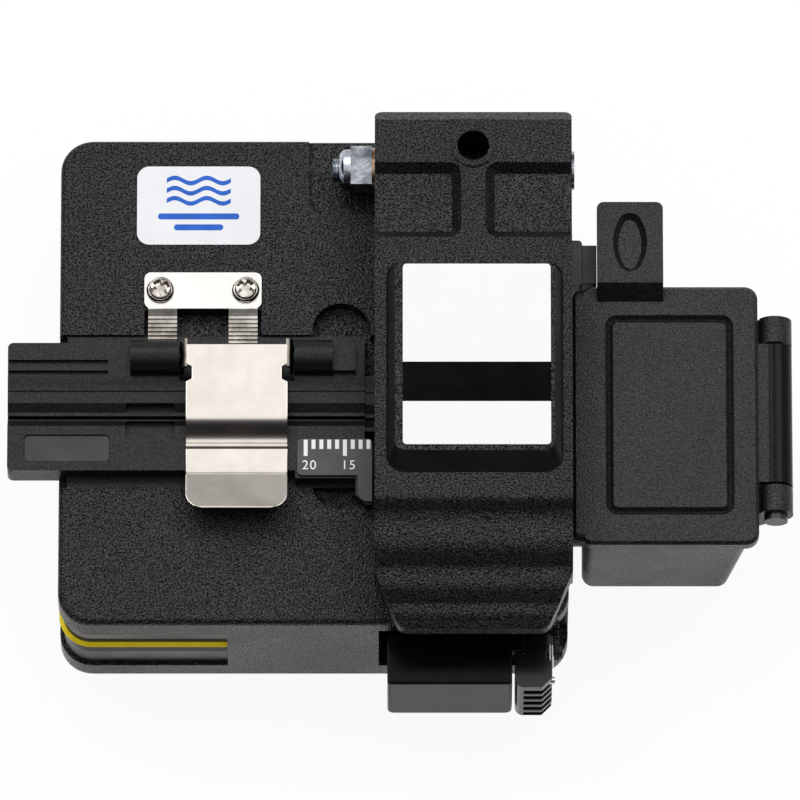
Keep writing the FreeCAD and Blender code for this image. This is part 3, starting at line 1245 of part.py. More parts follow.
def blade_hub():
    x0 = BLADE_X + BLADE_THICKNESS / 2
    x1 = x0 + BLADE_HUB_THICKNESS
    hub = cylinder_x(BLADE_Y, BLADE_Z, x0, x1, BLADE_HUB_RADIUS)
    for index in range(HUB_FLUTES):
        angle = 2 * math.pi * index / HUB_FLUTES
        y = BLADE_Y + BLADE_HUB_RADIUS * math.cos(angle)
        z = BLADE_Z + BLADE_HUB_RADIUS * math.sin(angle)
        hub = hub.cut(cylinder_x(y, z, x0, x1, HUB_FLUTE_RADIUS))
    return hub.cut(cylinder_x(BLADE_Y, BLADE_Z, x0, x1, AXLE_RADIUS + BLADE_BORE_CLEARANCE))


# ---------------------------------------------------------------- latch body
def lock_latch():
    z0 = LATCH_Z1 - LATCH_HEAD_HEIGHT
    head = block(HEAD_X0, HEAD_X1, HEAD_FRONT, HEAD_REAR, z0, LATCH_Z1)
    left = [edge for edge in upright_edges(head)
            if edge.CenterOfMass.y < HEAD_FRONT + 1 and edge.CenterOfMass.x < HEAD_X0 + 1]
    head = head.makeFillet(LATCH_CORNER_RADIUS, left)
    right = [edge for edge in upright_edges(head)
             if edge.CenterOfMass.y < HEAD_FRONT + 1 and edge.CenterOfMass.x > HEAD_X1 - 1]
    head = head.makeChamfer(LATCH_CHAMFER, right)
    low = [edge for edge in edges_at_height(head, z0) if edge.CenterOfMass.y < HEAD_REAR - 0.5]
    head = head.makeChamfer(LATCH_LOW_CHAMFER, low)
    head = head.cut(latch_grooves(z0))
    stem = block(STEM_X0, STEM_X1, HEAD_REAR, CLAW_Y0, LATCH_Z1 - LATCH_STEM_HEIGHT, LATCH_Z1)
    nose_z = CLAW_Z1 - CLAW_NOSE_HEIGHT
    claw = [(CLAW_Y0, LATCH_Z1 - LATCH_STEM_HEIGHT), (CLAW_Y1, LATCH_Z1 - LATCH_STEM_HEIGHT),
            (CLAW_Y1, CLAW_Z1), (NOSE_Y, CLAW_Z1), (NOSE_Y, nose_z), (CLAW_Y0, nose_z)]
    body = head.multiFuse([stem, extrude_x(claw, STEM_X0, STEM_X1)])
    coil_room = LATCH_COIL_RADIUS + LATCH_WIRE
    body = body.cut(cylinder_x(PIVOT_Y, PIVOT_Z, STEM_X1, HEAD_X1, coil_room))
    bore = LATCH_PIN_RADIUS + HINGE_RUNNING_CLEARANCE
    return body.cut(cylinder_x(PIVOT_Y, PIVOT_Z, STEM_X0, STEM_X1, bore)).removeSplitter()


def latch_grooves(z0):
    """Thumb grooves between the ribs, run round the chamfered corner."""
    depth = LATCH_RIB_DEPTH
    face_x1 = HEAD_X1 - LATCH_CHAMFER
    side_y0 = HEAD_FRONT + LATCH_CHAMFER
    face_x0 = HEAD_X0 + LATCH_CORNER_RADIUS
    line = [(face_x0, HEAD_FRONT - 1), (face_x0, HEAD_FRONT + depth),
            (face_x1 - depth / 2, HEAD_FRONT + depth), (HEAD_X1 - depth, side_y0 + depth / 2),
            (HEAD_X1 - depth, side_y0 + LATCH_SIDE_RUN), (HEAD_X1 + 1, side_y0 + LATCH_SIDE_RUN),
            (HEAD_X1 + 1, HEAD_FRONT - 1)]
    grooves = []
    for index in range(LATCH_RIBS):
        groove_z = z0 + LATCH_LOW_CHAMFER + LATCH_RIB_PITCH * index
        grooves.append(extrude_z(line, groove_z, groove_z + LATCH_RIB_PITCH * LATCH_GROOVE_SHARE))
    return Part.makeCompound(grooves)


def latch_pin():
    shaft = cylinder_x(PIVOT_Y, PIVOT_Z, STEM_X0 + LATCH_PIN_INSET, CHEEK_X1, LATCH_PIN_RADIUS)
    head = cylinder_x(PIVOT_Y, PIVOT_Z, CHEEK_X1, CHEEK_X1 + LATCH_PIN_HEAD_LENGTH, LATCH_PIN_HEAD_RADIUS)
    return shaft.fuse(head).removeSplitter()


def latch_spring():
    length = LATCH_COIL_PITCH * LATCH_COIL_TURNS
    return coil(STEM_X1 + (CHEEK_GAP - length) / 2, PIVOT_Y, PIVOT_Z, LATCH_COIL_RADIUS, LATCH_WIRE,
                LATCH_COIL_PITCH, LATCH_COIL_TURNS, V(1, 0, 0))


# ---------------------------------------------------------------- fibre holder body
CABLE_FLOOR = HOLDER_TOP - CABLE_CHANNEL_DEPTH
PIN_Y = HOLDER_REAR_Y - CLIP_PIN_INSET
PIN_Z = HOLDER_TOP + CLIP_PIN_RISE
CLIP_X0 = HOLDER_LEFT + CLIP_LEFT_INSET
CLIP_X1 = CLIP_X0 + CLIP_WIDTH
EAR_X0 = CLIP_X0 - CLIP_EAR_REACH
EAR_X1 = CLIP_X1 + CLIP_EAR_REACH
BARREL_LEFT_X0 = EAR_X0 - BARREL_SIDE_GAP - BARREL_LEFT_WIDTH
BARREL_RIGHT_X0 = EAR_X1 + BARREL_SIDE_GAP
BARREL_RIGHT_X1 = BARREL_RIGHT_X0 + BARREL_RIGHT_WIDTH
CLIP_FLAT_Z = PIN_Z + CLIP_PLATE_RISE


def holder_section(top):
    """Front to rear outline of the stepped cable channel and its fibre groove."""
    front = FIBRE_Y - CABLE_CHANNEL_FRONT
    rear = FIBRE_Y + CABLE_CHANNEL_REAR
    floor = top - CABLE_CHANNEL_DEPTH
    half = VEE_WIDTH / 2
    vee = min(FIBRE_Z, floor) - VEE_DEPTH
    shelf_y0 = rear - 2 * STEP_WIDTH
    shelf_y1 = rear - STEP_WIDTH
    shelf = top - STEP_DEPTH
    line = [(front, top), (front + CABLE_CHANNEL_DEPTH, floor), (FIBRE_Y - half, floor)]
    line += [(FIBRE_Y, vee), (FIBRE_Y + half, floor), (shelf_y0 - CABLE_CHANNEL_DEPTH, floor)]
    line += [(shelf_y0, shelf), (shelf_y1, shelf), (shelf_y1, shelf + STEP_DEPTH / 2)]
    return line + [(rear - STEP_WIDTH / 2, shelf + STEP_DEPTH / 2), (rear, top)]


def holder_body():
    foot_top = HOLDER_Z0 + HOLDER_FOOT_HEIGHT
    rail = [(CHANNEL_Y0 + CHANNEL_CLEARANCE, HOLDER_Z0), (CHANNEL_Y0 + CHANNEL_CLEARANCE, foot_top),
            (CHANNEL_Y1 - CHANNEL_CLEARANCE, foot_top), (CHANNEL_Y1 - CHANNEL_CLEARANCE, HOLDER_Z0)]
    foot = extrude_x(rail, BASE_LEFT + FOOT_SETBACK, HOLDER_RIGHT)
    outline = [(HOLDER_FRONT_Y, HOLDER_Z0), (HOLDER_FRONT_Y, HOLDER_TOP)] + holder_section(HOLDER_TOP)
    outline += [(HOLDER_REAR_Y, HOLDER_TOP), (HOLDER_REAR_Y, HOLDER_Z0)]
    plate = extrude_x(outline, HOLDER_LEFT, HOLDER_RIGHT)
    end_edges = [edge for edge in upright_edges(plate) if edge.CenterOfMass.x < HOLDER_LEFT + 1
                 and edge.BoundBox.ZLength > HOLDER_THICKNESS - TOL]
    plate = plate.makeFillet(HOLDER_CORNER_RADIUS, end_edges)
    tongue_top = HOLDER_TOP - TONGUE_DROP
    tongue = [(tongue_y0(), HOLDER_Z0), (tongue_y0(), tongue_top)] + holder_section(tongue_top)
    tongue += [(tongue_y1(), tongue_top), (tongue_y1(), HOLDER_Z0)]
    body = plate.multiFuse([foot, extrude_x(tongue, HOLDER_RIGHT, TONGUE_RIGHT), scale_carrier()])
    body = body.multiFuse(pin_knuckles())
    room_x0 = EAR_X0 - BARREL_SIDE_GAP
    body = body.cut(cylinder_x(PIN_Y, PIN_Z, room_x0, EAR_X1 + BARREL_SIDE_GAP, CLIP_SWING_ROOM))
    body = body.cut(cylinder_x(PIN_Y, PIN_Z, BARREL_LEFT_X0, BARREL_RIGHT_X1, CLIP_PIN_RADIUS))

    # gauge slots open to the left end, thumb rest and two windows in the channel
    for offset, width in GAUGE_SLOTS:
        y1 = HOLDER_REAR_Y - offset
        body = body.cut(block(HOLDER_LEFT - 1, HOLDER_LEFT + SLOT_LENGTH, y1 - width, y1,
                              HOLDER_TOP - SLOT_DEPTH, HOLDER_TOP + 1))
    rest_x0 = HOLDER_LEFT + REST_LEFT_INSET
    rest_y0 = HOLDER_FRONT_Y + REST_FRONT_INSET
    body = body.cut(rounded_plate(rest_x0, rest_x0 + REST_LENGTH, rest_y0, rest_y0 + REST_WIDTH,
                                  HOLDER_TOP - REST_DEPTH, HOLDER_TOP + 1, REST_CORNER_RADIUS))
    window_x0 = HOLDER_LEFT + WINDOW_LEFT_INSET
    window_x1 = window_x0 + WINDOW_LENGTH
    rear_y0 = FIBRE_Y + VEE_WIDTH
    front_y1 = FIBRE_Y - VEE_WIDTH
    for y0, y1, depth in ((rear_y0, rear_y0 + WINDOW_REAR_WIDTH, WINDOW_DEPTH),
                          (front_y1 - WINDOW_FRONT_WIDTH, front_y1, WINDOW_DEPTH),
                          (front_y1 - WINDOW_FRONT_WIDTH - WINDOW_LEDGE, front_y1, WINDOW_DEPTH / 2)):
        body = body.cut(rounded_plate(window_x0, window_x1, y0, y1, HOLDER_TOP - depth, HOLDER_TOP + 1,
                                      WINDOW_CORNER_RADIUS))
    return body.removeSplitter()


def pin_knuckles():
    """Two barrels for the clip pin and the block that closes its right end."""
    base_z = HOLDER_TOP - 2 * STEP_DEPTH
    knuckles = []
    for x0, width in ((BARREL_LEFT_X0, BARREL_LEFT_WIDTH), (BARREL_RIGHT_X0, BARREL_RIGHT_WIDTH)):
        barrel = cylinder_x(PIN_Y, PIN_Z, x0, x0 + width, BARREL_RADIUS)
        knuckles.append(barrel.common(block(x0, x0 + width, PIN_Y - BARREL_RADIUS, PIN_Y + BARREL_RADIUS,
                                            base_z, PIN_Z + BARREL_RADIUS)))
    knuckles.append(block(BARREL_RIGHT_X1, BARREL_RIGHT_X1 + END_BLOCK_WIDTH, PIN_Y - END_BLOCK_DEPTH / 2,
                          PIN_Y + END_BLOCK_DEPTH / 2, base_z, PIN_Z + CLIP_PIN_RISE))
    return knuckles


def scale_carrier():
    """Ledge under the scale plate, stepping out over the front notch."""
    x0, x1, y0 = scale_places()
    ledge = block(x0 - CARRIER_RIM, x1, y0 - CARRIER_RIM, HOLDER_FRONT_Y + 1, HOLDER_Z0, HOLDER_TOP)
    leg_x0 = x1 - SCALE_LEG_WIDTH - CARRIER_RIM
    leg_y0 = y0 - SCALE_LEG_LENGTH - CARRIER_RIM
    line = [(leg_x0, HOLDER_FRONT_Y), (x1, HOLDER_FRONT_Y), (x1, leg_y0), (leg_x0 + SCALE_LEG_RADIUS, leg_y0),
            (leg_x0, leg_y0 + SCALE_LEG_RADIUS)]
    leg = extrude_z(line, BASE_TOP + CHANNEL_CLEARANCE, HOLDER_TOP)
    return ledge.fuse(leg)


def scale_places():
    """Left, right and front edges of the scale plate."""
    return BLADE_X - SCALE_ZERO_TO_LEFT, LEVER_LEFT - SCALE_LEVER_GAP, SCALE_REAR_Y - SCALE_DEPTH


def scale_plate():
    x0, x1, y0 = scale_places()
    top = HOLDER_TOP + SCALE_THICKNESS
    body = rounded_plate(x0, x1, y0, SCALE_REAR_Y, HOLDER_TOP, top, SCALE_CORNER_RADIUS)
    leg_x0 = x1 - SCALE_LEG_WIDTH
    leg_y0 = y0 - SCALE_LEG_LENGTH
    leg = block(leg_x0, x1, leg_y0, y0 + 1, HOLDER_TOP, top)
    corner = [edge for edge in upright_edges(leg)
              if edge.CenterOfMass.x < leg_x0 + TOL and edge.CenterOfMass.y < leg_y0 + TOL]
    leg = leg.makeFillet(SCALE_LEG_RADIUS, corner)
    return body.fuse(leg).removeSplitter()


def clip_pin():
    return cylinder_x(PIN_Y, PIN_Z, BARREL_LEFT_X0, BARREL_RIGHT_X1, CLIP_PIN_RADIUS)


def clip_line():
    """Upper side of the clip plate, from its rear edge to the lifted front lip."""
    foot_z = HOLDER_TOP + CLIP_THICKNESS
    points = [(PIN_Y + CLIP_REAR_REACH, CLIP_FLAT_Z)]
    y = FIBRE_Y - CLIP_FLAT_REACH
    points.append((y, CLIP_FLAT_Z))
    y -= CLIP_BEND_LENGTH
    points.append((y, foot_z))
    y -= CLIP_FOOT_LENGTH
    points.append((y, foot_z))
    points.append((y - CLIP_LIP_LENGTH, foot_z + CLIP_LIP_RISE))
    return points


def clip_plate():
    upper = clip_line()
    lower = [(y, z - CLIP_THICKNESS) for y, z in reversed(upper)]
    sheet = extrude_x(upper + lower, EAR_X0, EAR_X1)
    z0 = HOLDER_TOP - CLIP_THICKNESS
    z1 = PIN_Z + 2 * BARREL_RADIUS
    rear_y = upper[0][0]
    ear_y = PIN_Y - CLIP_EAR_ROOT
    front_y = upper[-1][0]
    plan = rounded_plate(CLIP_X0, CLIP_X1, front_y, rear_y + CLIP_CORNER_RADIUS, z0, z1, CLIP_CORNER_RADIUS)
    shoulders = block(EAR_X0, EAR_X1, ear_y, rear_y + 1, z0, z1)
    sheet = sheet.common(plan.fuse(shoulders))

    # side notches that let the ears bend, and the ears with the bore for the pin
    notch_y = ear_y - CLIP_NOTCH_WIDTH
    for x0, x1 in ((EAR_X0, CLIP_X0 + CLIP_EAR_REACH), (CLIP_X1 - CLIP_EAR_REACH, EAR_X1)):
        sheet = sheet.cut(block(x0, x1, notch_y, ear_y, z0, z1))
    for x0 in (EAR_X0, EAR_X1 - CLIP_THICKNESS):
        x1 = x0 + CLIP_THICKNESS
        ear = cylinder_x(PIN_Y, PIN_Z, x0, x1, CLIP_EAR_RADIUS)
        neck = block(x0, x1, PIN_Y - CLIP_EAR_RADIUS, PIN_Y + CLIP_EAR_RADIUS, PIN_Z,
                     CLIP_FLAT_Z - CLIP_THICKNESS / 2)
        sheet = sheet.multiFuse([ear, neck])
    bore = CLIP_PIN_RADIUS + HINGE_RUNNING_CLEARANCE
    return sheet.cut(cylinder_x(PIN_Y, PIN_Z, EAR_X0, EAR_X1, bore)).removeSplitter()


def clip_pad():
    z0 = CABLE_FLOOR + FIBRE_GAP
    z1 = CLIP_FLAT_Z - CLIP_THICKNESS
    foot = CLIP_PAD_FOOT / 2
    half = CLIP_PAD_WIDTH / 2
    side_z = z0 + half - foot
    line = [(FIBRE_Y - foot, z0), (FIBRE_Y + foot, z0), (FIBRE_Y + half, side_z),
            (FIBRE_Y + half, z1), (FIBRE_Y - half, z1), (FIBRE_Y - half, side_z)]
    return extrude_x(line, CLIP_X0 + CLIP_PAD_INSET, CLIP_X1 - CLIP_PAD_INSET)


def clip_spring():
    x0 = (CLIP_X0 + CLIP_X1 - CLIP_SPRING_LENGTH) / 2
    radius = CLIP_PIN_RADIUS + CLIP_SPRING_CLEARANCE + CLIP_SPRING_WIRE / 2
    return coil(x0, PIN_Y, PIN_Z, radius, CLIP_SPRING_WIRE,
                CLIP_SPRING_LENGTH / CLIP_SPRING_TURNS, CLIP_SPRING_TURNS, V(1, 0, 0))


# ---------------------------------------------------------------- waste box
def tray_screw_y():
    return (TRAY_Y0 + TRAY_SCREW_INSET, TRAY_Y1 - TRAY_SCREW_INSET)


def tray_right(z):
    """The right wall leans in towards the bottom."""
    return TRAY_X1 - TRAY_TAPER * (TRAY_Z1 - z) / (TRAY_Z1 - TRAY_Z0)


def tray_block(inset, radius):
    floor = TRAY_Z0 + inset
    line = [(TRAY_X0 + inset, floor), (TRAY_X0 + inset, TRAY_Z1), (TRAY_X1 - inset, TRAY_Z1),
            (tray_right(floor) - inset, floor)]
    solid = extrude_y(line, TRAY_Y0 + inset, TRAY_Y1 - inset)
    corners = [edge for edge in solid.Edges
               if edge.BoundBox.YLength < TOL and edge.BoundBox.ZLength > TRAY_WALL]
    return solid.makeFillet(radius, corners)


def waste_tray():
    body = tray_block(0, TRAY_CORNER_RADIUS)
    body = body.makeFillet(TRAY_WALL, edges_at_height(body, TRAY_Z0))
    body = body.cut(tray_block(TRAY_WALL, TRAY_CORNER_RADIUS - TRAY_WALL))
    body = body.cut(block(TRAY_X0 - 1, TRAY_X0 + TRAY_WALL, FIBRE_Y - OFFCUT_NOTCH / 2,
                          FIBRE_Y + OFFCUT_NOTCH / 2, TRAY_Z1 - OFFCUT_NOTCH_DEPTH, TRAY_Z1))

    # bosses that stand on the base's side wall
    for y in tray_screw_y():
        boss = cylinder_x(y, TRAY_SCREW_Z, BASE_RIGHT, TRAY_X0 + TRAY_WALL, TRAY_BOSS_RADIUS)
        body = body.fuse(boss)
        body = body.cut(cylinder_x(y, TRAY_SCREW_Z, BASE_RIGHT, TRAY_X0 + TRAY_WALL, SCREW_SHANK_RADIUS))

    # hinge knuckles on arms from the right wall
    rear_y0 = LID_BARREL_FRONT_Y + LID_BARREL_LENGTH + KNUCKLE_GAP
    front_y0 = LID_BARREL_FRONT_Y - KNUCKLE_GAP - KNUCKLE_LENGTH
    for y0 in (front_y0, rear_y0):
        y1 = y0 + KNUCKLE_LENGTH
        arm_z0 = LID_HINGE_Z - ARM_DROP_SHARE * LID_HINGE_RADIUS
        arm = [(tray_right(arm_z0) - TRAY_WALL / 2, arm_z0), (TRAY_X1 - TRAY_WALL / 2, TRAY_Z1),
               (TRAY_X1, TRAY_Z1), (LID_HINGE_X, LID_HINGE_Z - LID_HINGE_RADIUS * ARM_TOP_SHARE),
               (LID_HINGE_X, LID_HINGE_Z - LID_HINGE_RADIUS)]
        body = body.fuse(extrude_y(arm, y0, y1))
        body = body.fuse(cylinder_y(LID_HINGE_X, LID_HINGE_Z, y0, y1, LID_HINGE_RADIUS))
        body = body.cut(cylinder_y(LID_HINGE_X, LID_HINGE_Z, y0, y1, LID_PIN_RADIUS))
        edge_room = block(LID_X0, LID_X1 + LID_EDGE_CLEARANCE, y0 - 1, y1 + 1, LID_BOTTOM - TRAY_LID_GAP,
                          LID_TOP + 1)
        body = body.cut(edge_room)
    return body.removeSplitter()


def waste_tray_screws():
    screws = []
    for y in tray_screw_y():
        x_seat = TRAY_X0 + TRAY_WALL
        shank = cylinder_x(y, TRAY_SCREW_Z, BASE_RIGHT - TRAY_SCREW_HOLD, x_seat, SCREW_SHANK_RADIUS)
        head = cylinder_x(y, TRAY_SCREW_Z, x_seat, x_seat + SCREW_HEAD_HEIGHT, SCREW_HEAD_RADIUS)
        screws.append(shank.fuse(head).removeSplitter())
    return Part.makeCompound(screws)


def waste_bracket():
    """Angle on the base's side wall that steadies the box behind its lid."""
    foot_x1 = BASE_RIGHT + BRACKET_WIDTH
    plate_x1 = foot_x1 + BRACKET_WIDTH
    top = BASE_TOP + BRACKET_RISE
    upright = block(BASE_RIGHT, foot_x1, BRACKET_Y0, BRACKET_Y1, top - BRACKET_HEIGHT, top)
    corners = [edge for edge in upright_edges(upright) if edge.CenterOfMass.x > foot_x1 - TOL]
    upright = upright.makeFillet(BRACKET_CORNER_RADIUS, corners)
    plate_top = top - BRACKET_STEP
    plate = block(foot_x1 - BRACKET_CORNER_RADIUS, plate_x1, BRACKET_Y0 + BRACKET_CORNER_RADIUS,
                  BRACKET_Y1 - BRACKET_CORNER_RADIUS, plate_top - BRACKET_PLATE_HEIGHT, plate_top)
    rail_x0 = max(foot_x1, TRAY_X0 + TRAY_CORNER_RADIUS)
    rail = block(rail_x0, plate_x1, TRAY_Y1, BRACKET_Y0 + 2 * BRACKET_CORNER_RADIUS,
                 plate_top - BRACKET_PLATE_HEIGHT, TRAY_Z1 - BRACKET_RAIL_DROP)
    return upright.multiFuse([plate, rail]).removeSplitter()


def lid_hinge_pin():
    y0 = LID_BARREL_FRONT_Y - KNUCKLE_GAP - KNUCKLE_LENGTH
    y1 = LID_BARREL_FRONT_Y + LID_BARREL_LENGTH + KNUCKLE_GAP + KNUCKLE_LENGTH
    shaft = cylinder_y(LID_HINGE_X, LID_HINGE_Z, y0, y1, LID_PIN_RADIUS)
    head = cylinder_y(LID_HINGE_X, LID_HINGE_Z, y0 - LID_PIN_HEAD_LENGTH, y0, LID_PIN_HEAD_RADIUS)
    return shaft.fuse(head).removeSplitter()


def waste_lid():
    body = rounded_plate(LID_X0, LID_X1, LID_FRONT_Y, LID_REAR_Y, LID_BOTTOM, LID_TOP, LID_CORNER_RADIUS)
    body = body.makeChamfer(LID_EDGE, edges_at_height(body, LID_TOP))
    wall = TRAY_WALL + TRAY_INSET
    under = rounded_plate(LID_X0 + wall, LID_X1 - wall, LID_FRONT_Y + wall, LID_REAR_Y - wall,
                          LID_BOTTOM, LID_TOP - LID_SKIN, LID_CORNER_RADIUS)
    body = body.cut(under)

    # groove with two sloping sides that frames the panel
    ring_x0 = LID_X0 + LID_PANEL_INSET
    ring_x1 = LID_X1 - LID_PANEL_RIGHT_INSET
    ring_y0 = LID_FRONT_Y + LID_PANEL_FRONT_INSET
    ring_y1 = LID_REAR_Y - LID_PANEL_REAR_INSET
    floor = LID_TOP - LID_PANEL_DEPTH
    slope = LID_PANEL_DEPTH * GROOVE_SLOPE
    half = LID_PANEL_GROOVE / 2
    outer = rounded_plate(ring_x0, ring_x1, ring_y0, ring_y1, floor, LID_TOP + 1, LID_PANEL_RADIUS)
    outer = outer.makeChamfer(slope, edges_at_height(outer, floor))
    inner = rounded_plate(ring_x0 + half, ring_x1 - half, ring_y0 + half, ring_y1 - half, floor, LID_TOP,
                          LID_PANEL_RADIUS - half)
    inner = inner.makeChamfer(slope, edges_at_height(inner, LID_TOP))
    body = body.cut(outer).fuse(inner)

    # lifting tab with a thumb dimple
    tab_x0 = LID_X0 + TAB_INSET
    tab_x1 = tab_x0 + TAB_WIDTH
    tab_top = LID_TOP + TAB_STEP
    ramp_y1 = LID_REAR_Y - TAB_RAMP_SETBACK
    line = [(ramp_y1 - TAB_RAMP, LID_TOP - TAB_SINK), (ramp_y1 - TAB_RAMP, LID_TOP), (ramp_y1, tab_top),
            (ramp_y1 + TAB_LENGTH, tab_top), (ramp_y1 + TAB_LENGTH, tab_top - TAB_THICKNESS),
            (LID_REAR_Y + TAB_NECK, tab_top - TAB_THICKNESS), (LID_REAR_Y - LID_EDGE / 2, LID_TOP - TAB_SINK)]
    tab = extrude_x(line, tab_x0, tab_x1)
    rear_edges = [edge for edge in upright_edges(tab) if edge.CenterOfMass.y > ramp_y1 + TAB_LENGTH - 1]
    tab = tab.makeFillet(TAB_CORNER_RADIUS, rear_edges)
    dimple_x = (tab_x0 + tab_x1) / 2
    dimple_y = ramp_y1 + TAB_LENGTH / 2
    dimple = oval_block(dimple_x, dimple_y, DIMPLE_WIDTH, DIMPLE_LENGTH, tab_top - DIMPLE_DEPTH, tab_top + 1)
    dimple = dimple.makeChamfer(DIMPLE_SLOPE, edges_at_height(dimple, tab_top - DIMPLE_DEPTH))
    body = body.fuse(tab.cut(dimple))

    # hinge barrel carried on a web from the right edge
    y0 = LID_BARREL_FRONT_Y
    y1 = y0 + LID_BARREL_LENGTH
    web = [(LID_X1 - 1, LID_TOP - LID_SKIN - LID_WEB_DROP), (LID_X1 - 1, LID_TOP - LID_WEB_SINK),
           (LID_HINGE_X, LID_HINGE_Z + LID_HINGE_RADIUS * LID_WEB_SHARE), (LID_HINGE_X, LID_HINGE_Z)]
    body = body.fuse(extrude_y(web, y0, y1))
    body = body.fuse(cylinder_y(LID_HINGE_X, LID_HINGE_Z, y0, y1, LID_HINGE_RADIUS))
    bore = LID_PIN_RADIUS + HINGE_RUNNING_CLEARANCE
    return body.cut(cylinder_y(LID_HINGE_X, LID_HINGE_Z, y0, y1, bore)).removeSplitter()


# ---------------------------------------------------------------- write the nodes
NODES = {
    "base_housing": base_housing,
    "bottom_cover": bottom_cover,
    "bottom_cover_screws": bottom_cover_screws,
    "rubber_pad": rubber_pad,
    "side_trim": side_trim,
    "yellow_stripe": yellow_stripe,
    "gloss_band": gloss_band,
    "hold_down_spring": hold_down_spring,
    "hold_down_screws": hold_down_screws,
    "sticker": sticker,
    "lower_clamp_left": lambda: lower_clamp(-1),
    "lower_clamp_right": lambda: lower_clamp(1),
    "lower_clamp_pads": lambda: clamp_pad_pair(LOWER_CLAMP_TOP, LOWER_PAD_TOP),
    "slide_rails": slide_rails,
    "carriage_spring": carriage_spring,
    "spring_guide_pin": spring_guide_pin,
    "hinge_bolt": hinge_bolt,
    "hinge_nut": hinge_nut,
    "hinge_washer": hinge_washer,
    "latch_pin": latch_pin,
    "latch_spring": latch_spring,
    "waste_tray": waste_tray,
    "waste_tray_screws": waste_tray_screws,
    "waste_bracket": waste_bracket,
    "lid_hinge_pin": lid_hinge_pin,
    "lever_body": lever_body,
    "label_plate": label_plate,
    "upper_clamp_left": lambda: upper_clamp(-1),
    "upper_clamp_right": lambda: upper_clamp(1),
    "upper_clamp_pads": lambda: clamp_pad_pair(UPPER_PAD_BOTTOM, UPPER_CLAMP_BOTTOM),
    "anvil_housing": anvil_housing,
    "anvil": anvil,
    "anvil_spring": anvil_spring,
    "push_block": push_block,
    "blade_slide": blade_slide,
    "slide_bearings": slide_bearings,
    "blade_axle": blade_axle,
    "blade_wheel": blade_wheel,
    "blade_hub": blade_hub,
    "lock_latch": lock_latch,
    "holder_body": holder_body,
    "scale_plate": scale_plate,
    "clip_pin": clip_pin,
    "clip_spring": clip_spring,
    "clip_plate": clip_plate,
    "clip_pad": clip_pad,
    "waste_lid": waste_lid,
}

os.makedirs("parts", exist_ok=True)
for name, make in NODES.items():
    shape = make()
    shape.exportStep("parts/" + name + ".step")
    box = shape.BoundBox
    print(name, len(shape.Solids), "solids", shape.isValid(), round(shape.Volume, 2),
          [round(v, 2) for v in (box.XMin, box.XMax, box.YMin, box.YMax, box.ZMin, box.ZMax)])
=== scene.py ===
import json
import math

import bmesh
import bpy
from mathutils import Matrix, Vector

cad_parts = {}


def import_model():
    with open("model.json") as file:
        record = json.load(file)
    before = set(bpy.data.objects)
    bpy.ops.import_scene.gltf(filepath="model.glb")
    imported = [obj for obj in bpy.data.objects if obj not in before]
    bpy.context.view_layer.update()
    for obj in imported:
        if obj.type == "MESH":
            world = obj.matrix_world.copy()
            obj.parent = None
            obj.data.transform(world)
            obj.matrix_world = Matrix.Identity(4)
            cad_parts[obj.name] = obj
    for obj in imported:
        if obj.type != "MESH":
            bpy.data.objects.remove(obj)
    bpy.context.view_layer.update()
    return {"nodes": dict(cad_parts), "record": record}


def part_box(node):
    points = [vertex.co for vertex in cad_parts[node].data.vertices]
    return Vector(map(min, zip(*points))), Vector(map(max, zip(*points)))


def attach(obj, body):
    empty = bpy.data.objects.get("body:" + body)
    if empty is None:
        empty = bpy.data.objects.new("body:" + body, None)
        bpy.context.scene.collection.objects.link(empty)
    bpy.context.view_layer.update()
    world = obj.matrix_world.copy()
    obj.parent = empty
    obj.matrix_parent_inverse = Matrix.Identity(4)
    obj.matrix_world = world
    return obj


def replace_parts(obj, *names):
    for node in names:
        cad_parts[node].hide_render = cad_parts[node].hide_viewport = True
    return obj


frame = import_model()

MM = 0.001

# ---------------------------------------------------------------- material helpers
# Grain sizes and heights are lengths on the object, in metres.
PATCH_SIZE = 9 * MM
PATCH_ROUGHNESS = (-0.04, 0.06)
HOLLOW_SHARE = 0.4
MOTTLE_SIZE = 2.5 * MM
HANDLING_SIZE = 6 * MM
HANDLING_RANGE = (0.85, 1.2)
HANDLING_STRENGTH = 0.6
BRUSH_LINE = 0.12 * MM
BRUSH_STRETCH = 0.03
BRUSH_HEIGHT = 0.003 * MM
BRUSH_STRENGTH = 0.5
BRUSH_PATCH = 3 * MM
BRUSH_RANGE = (0.8, 1.25)


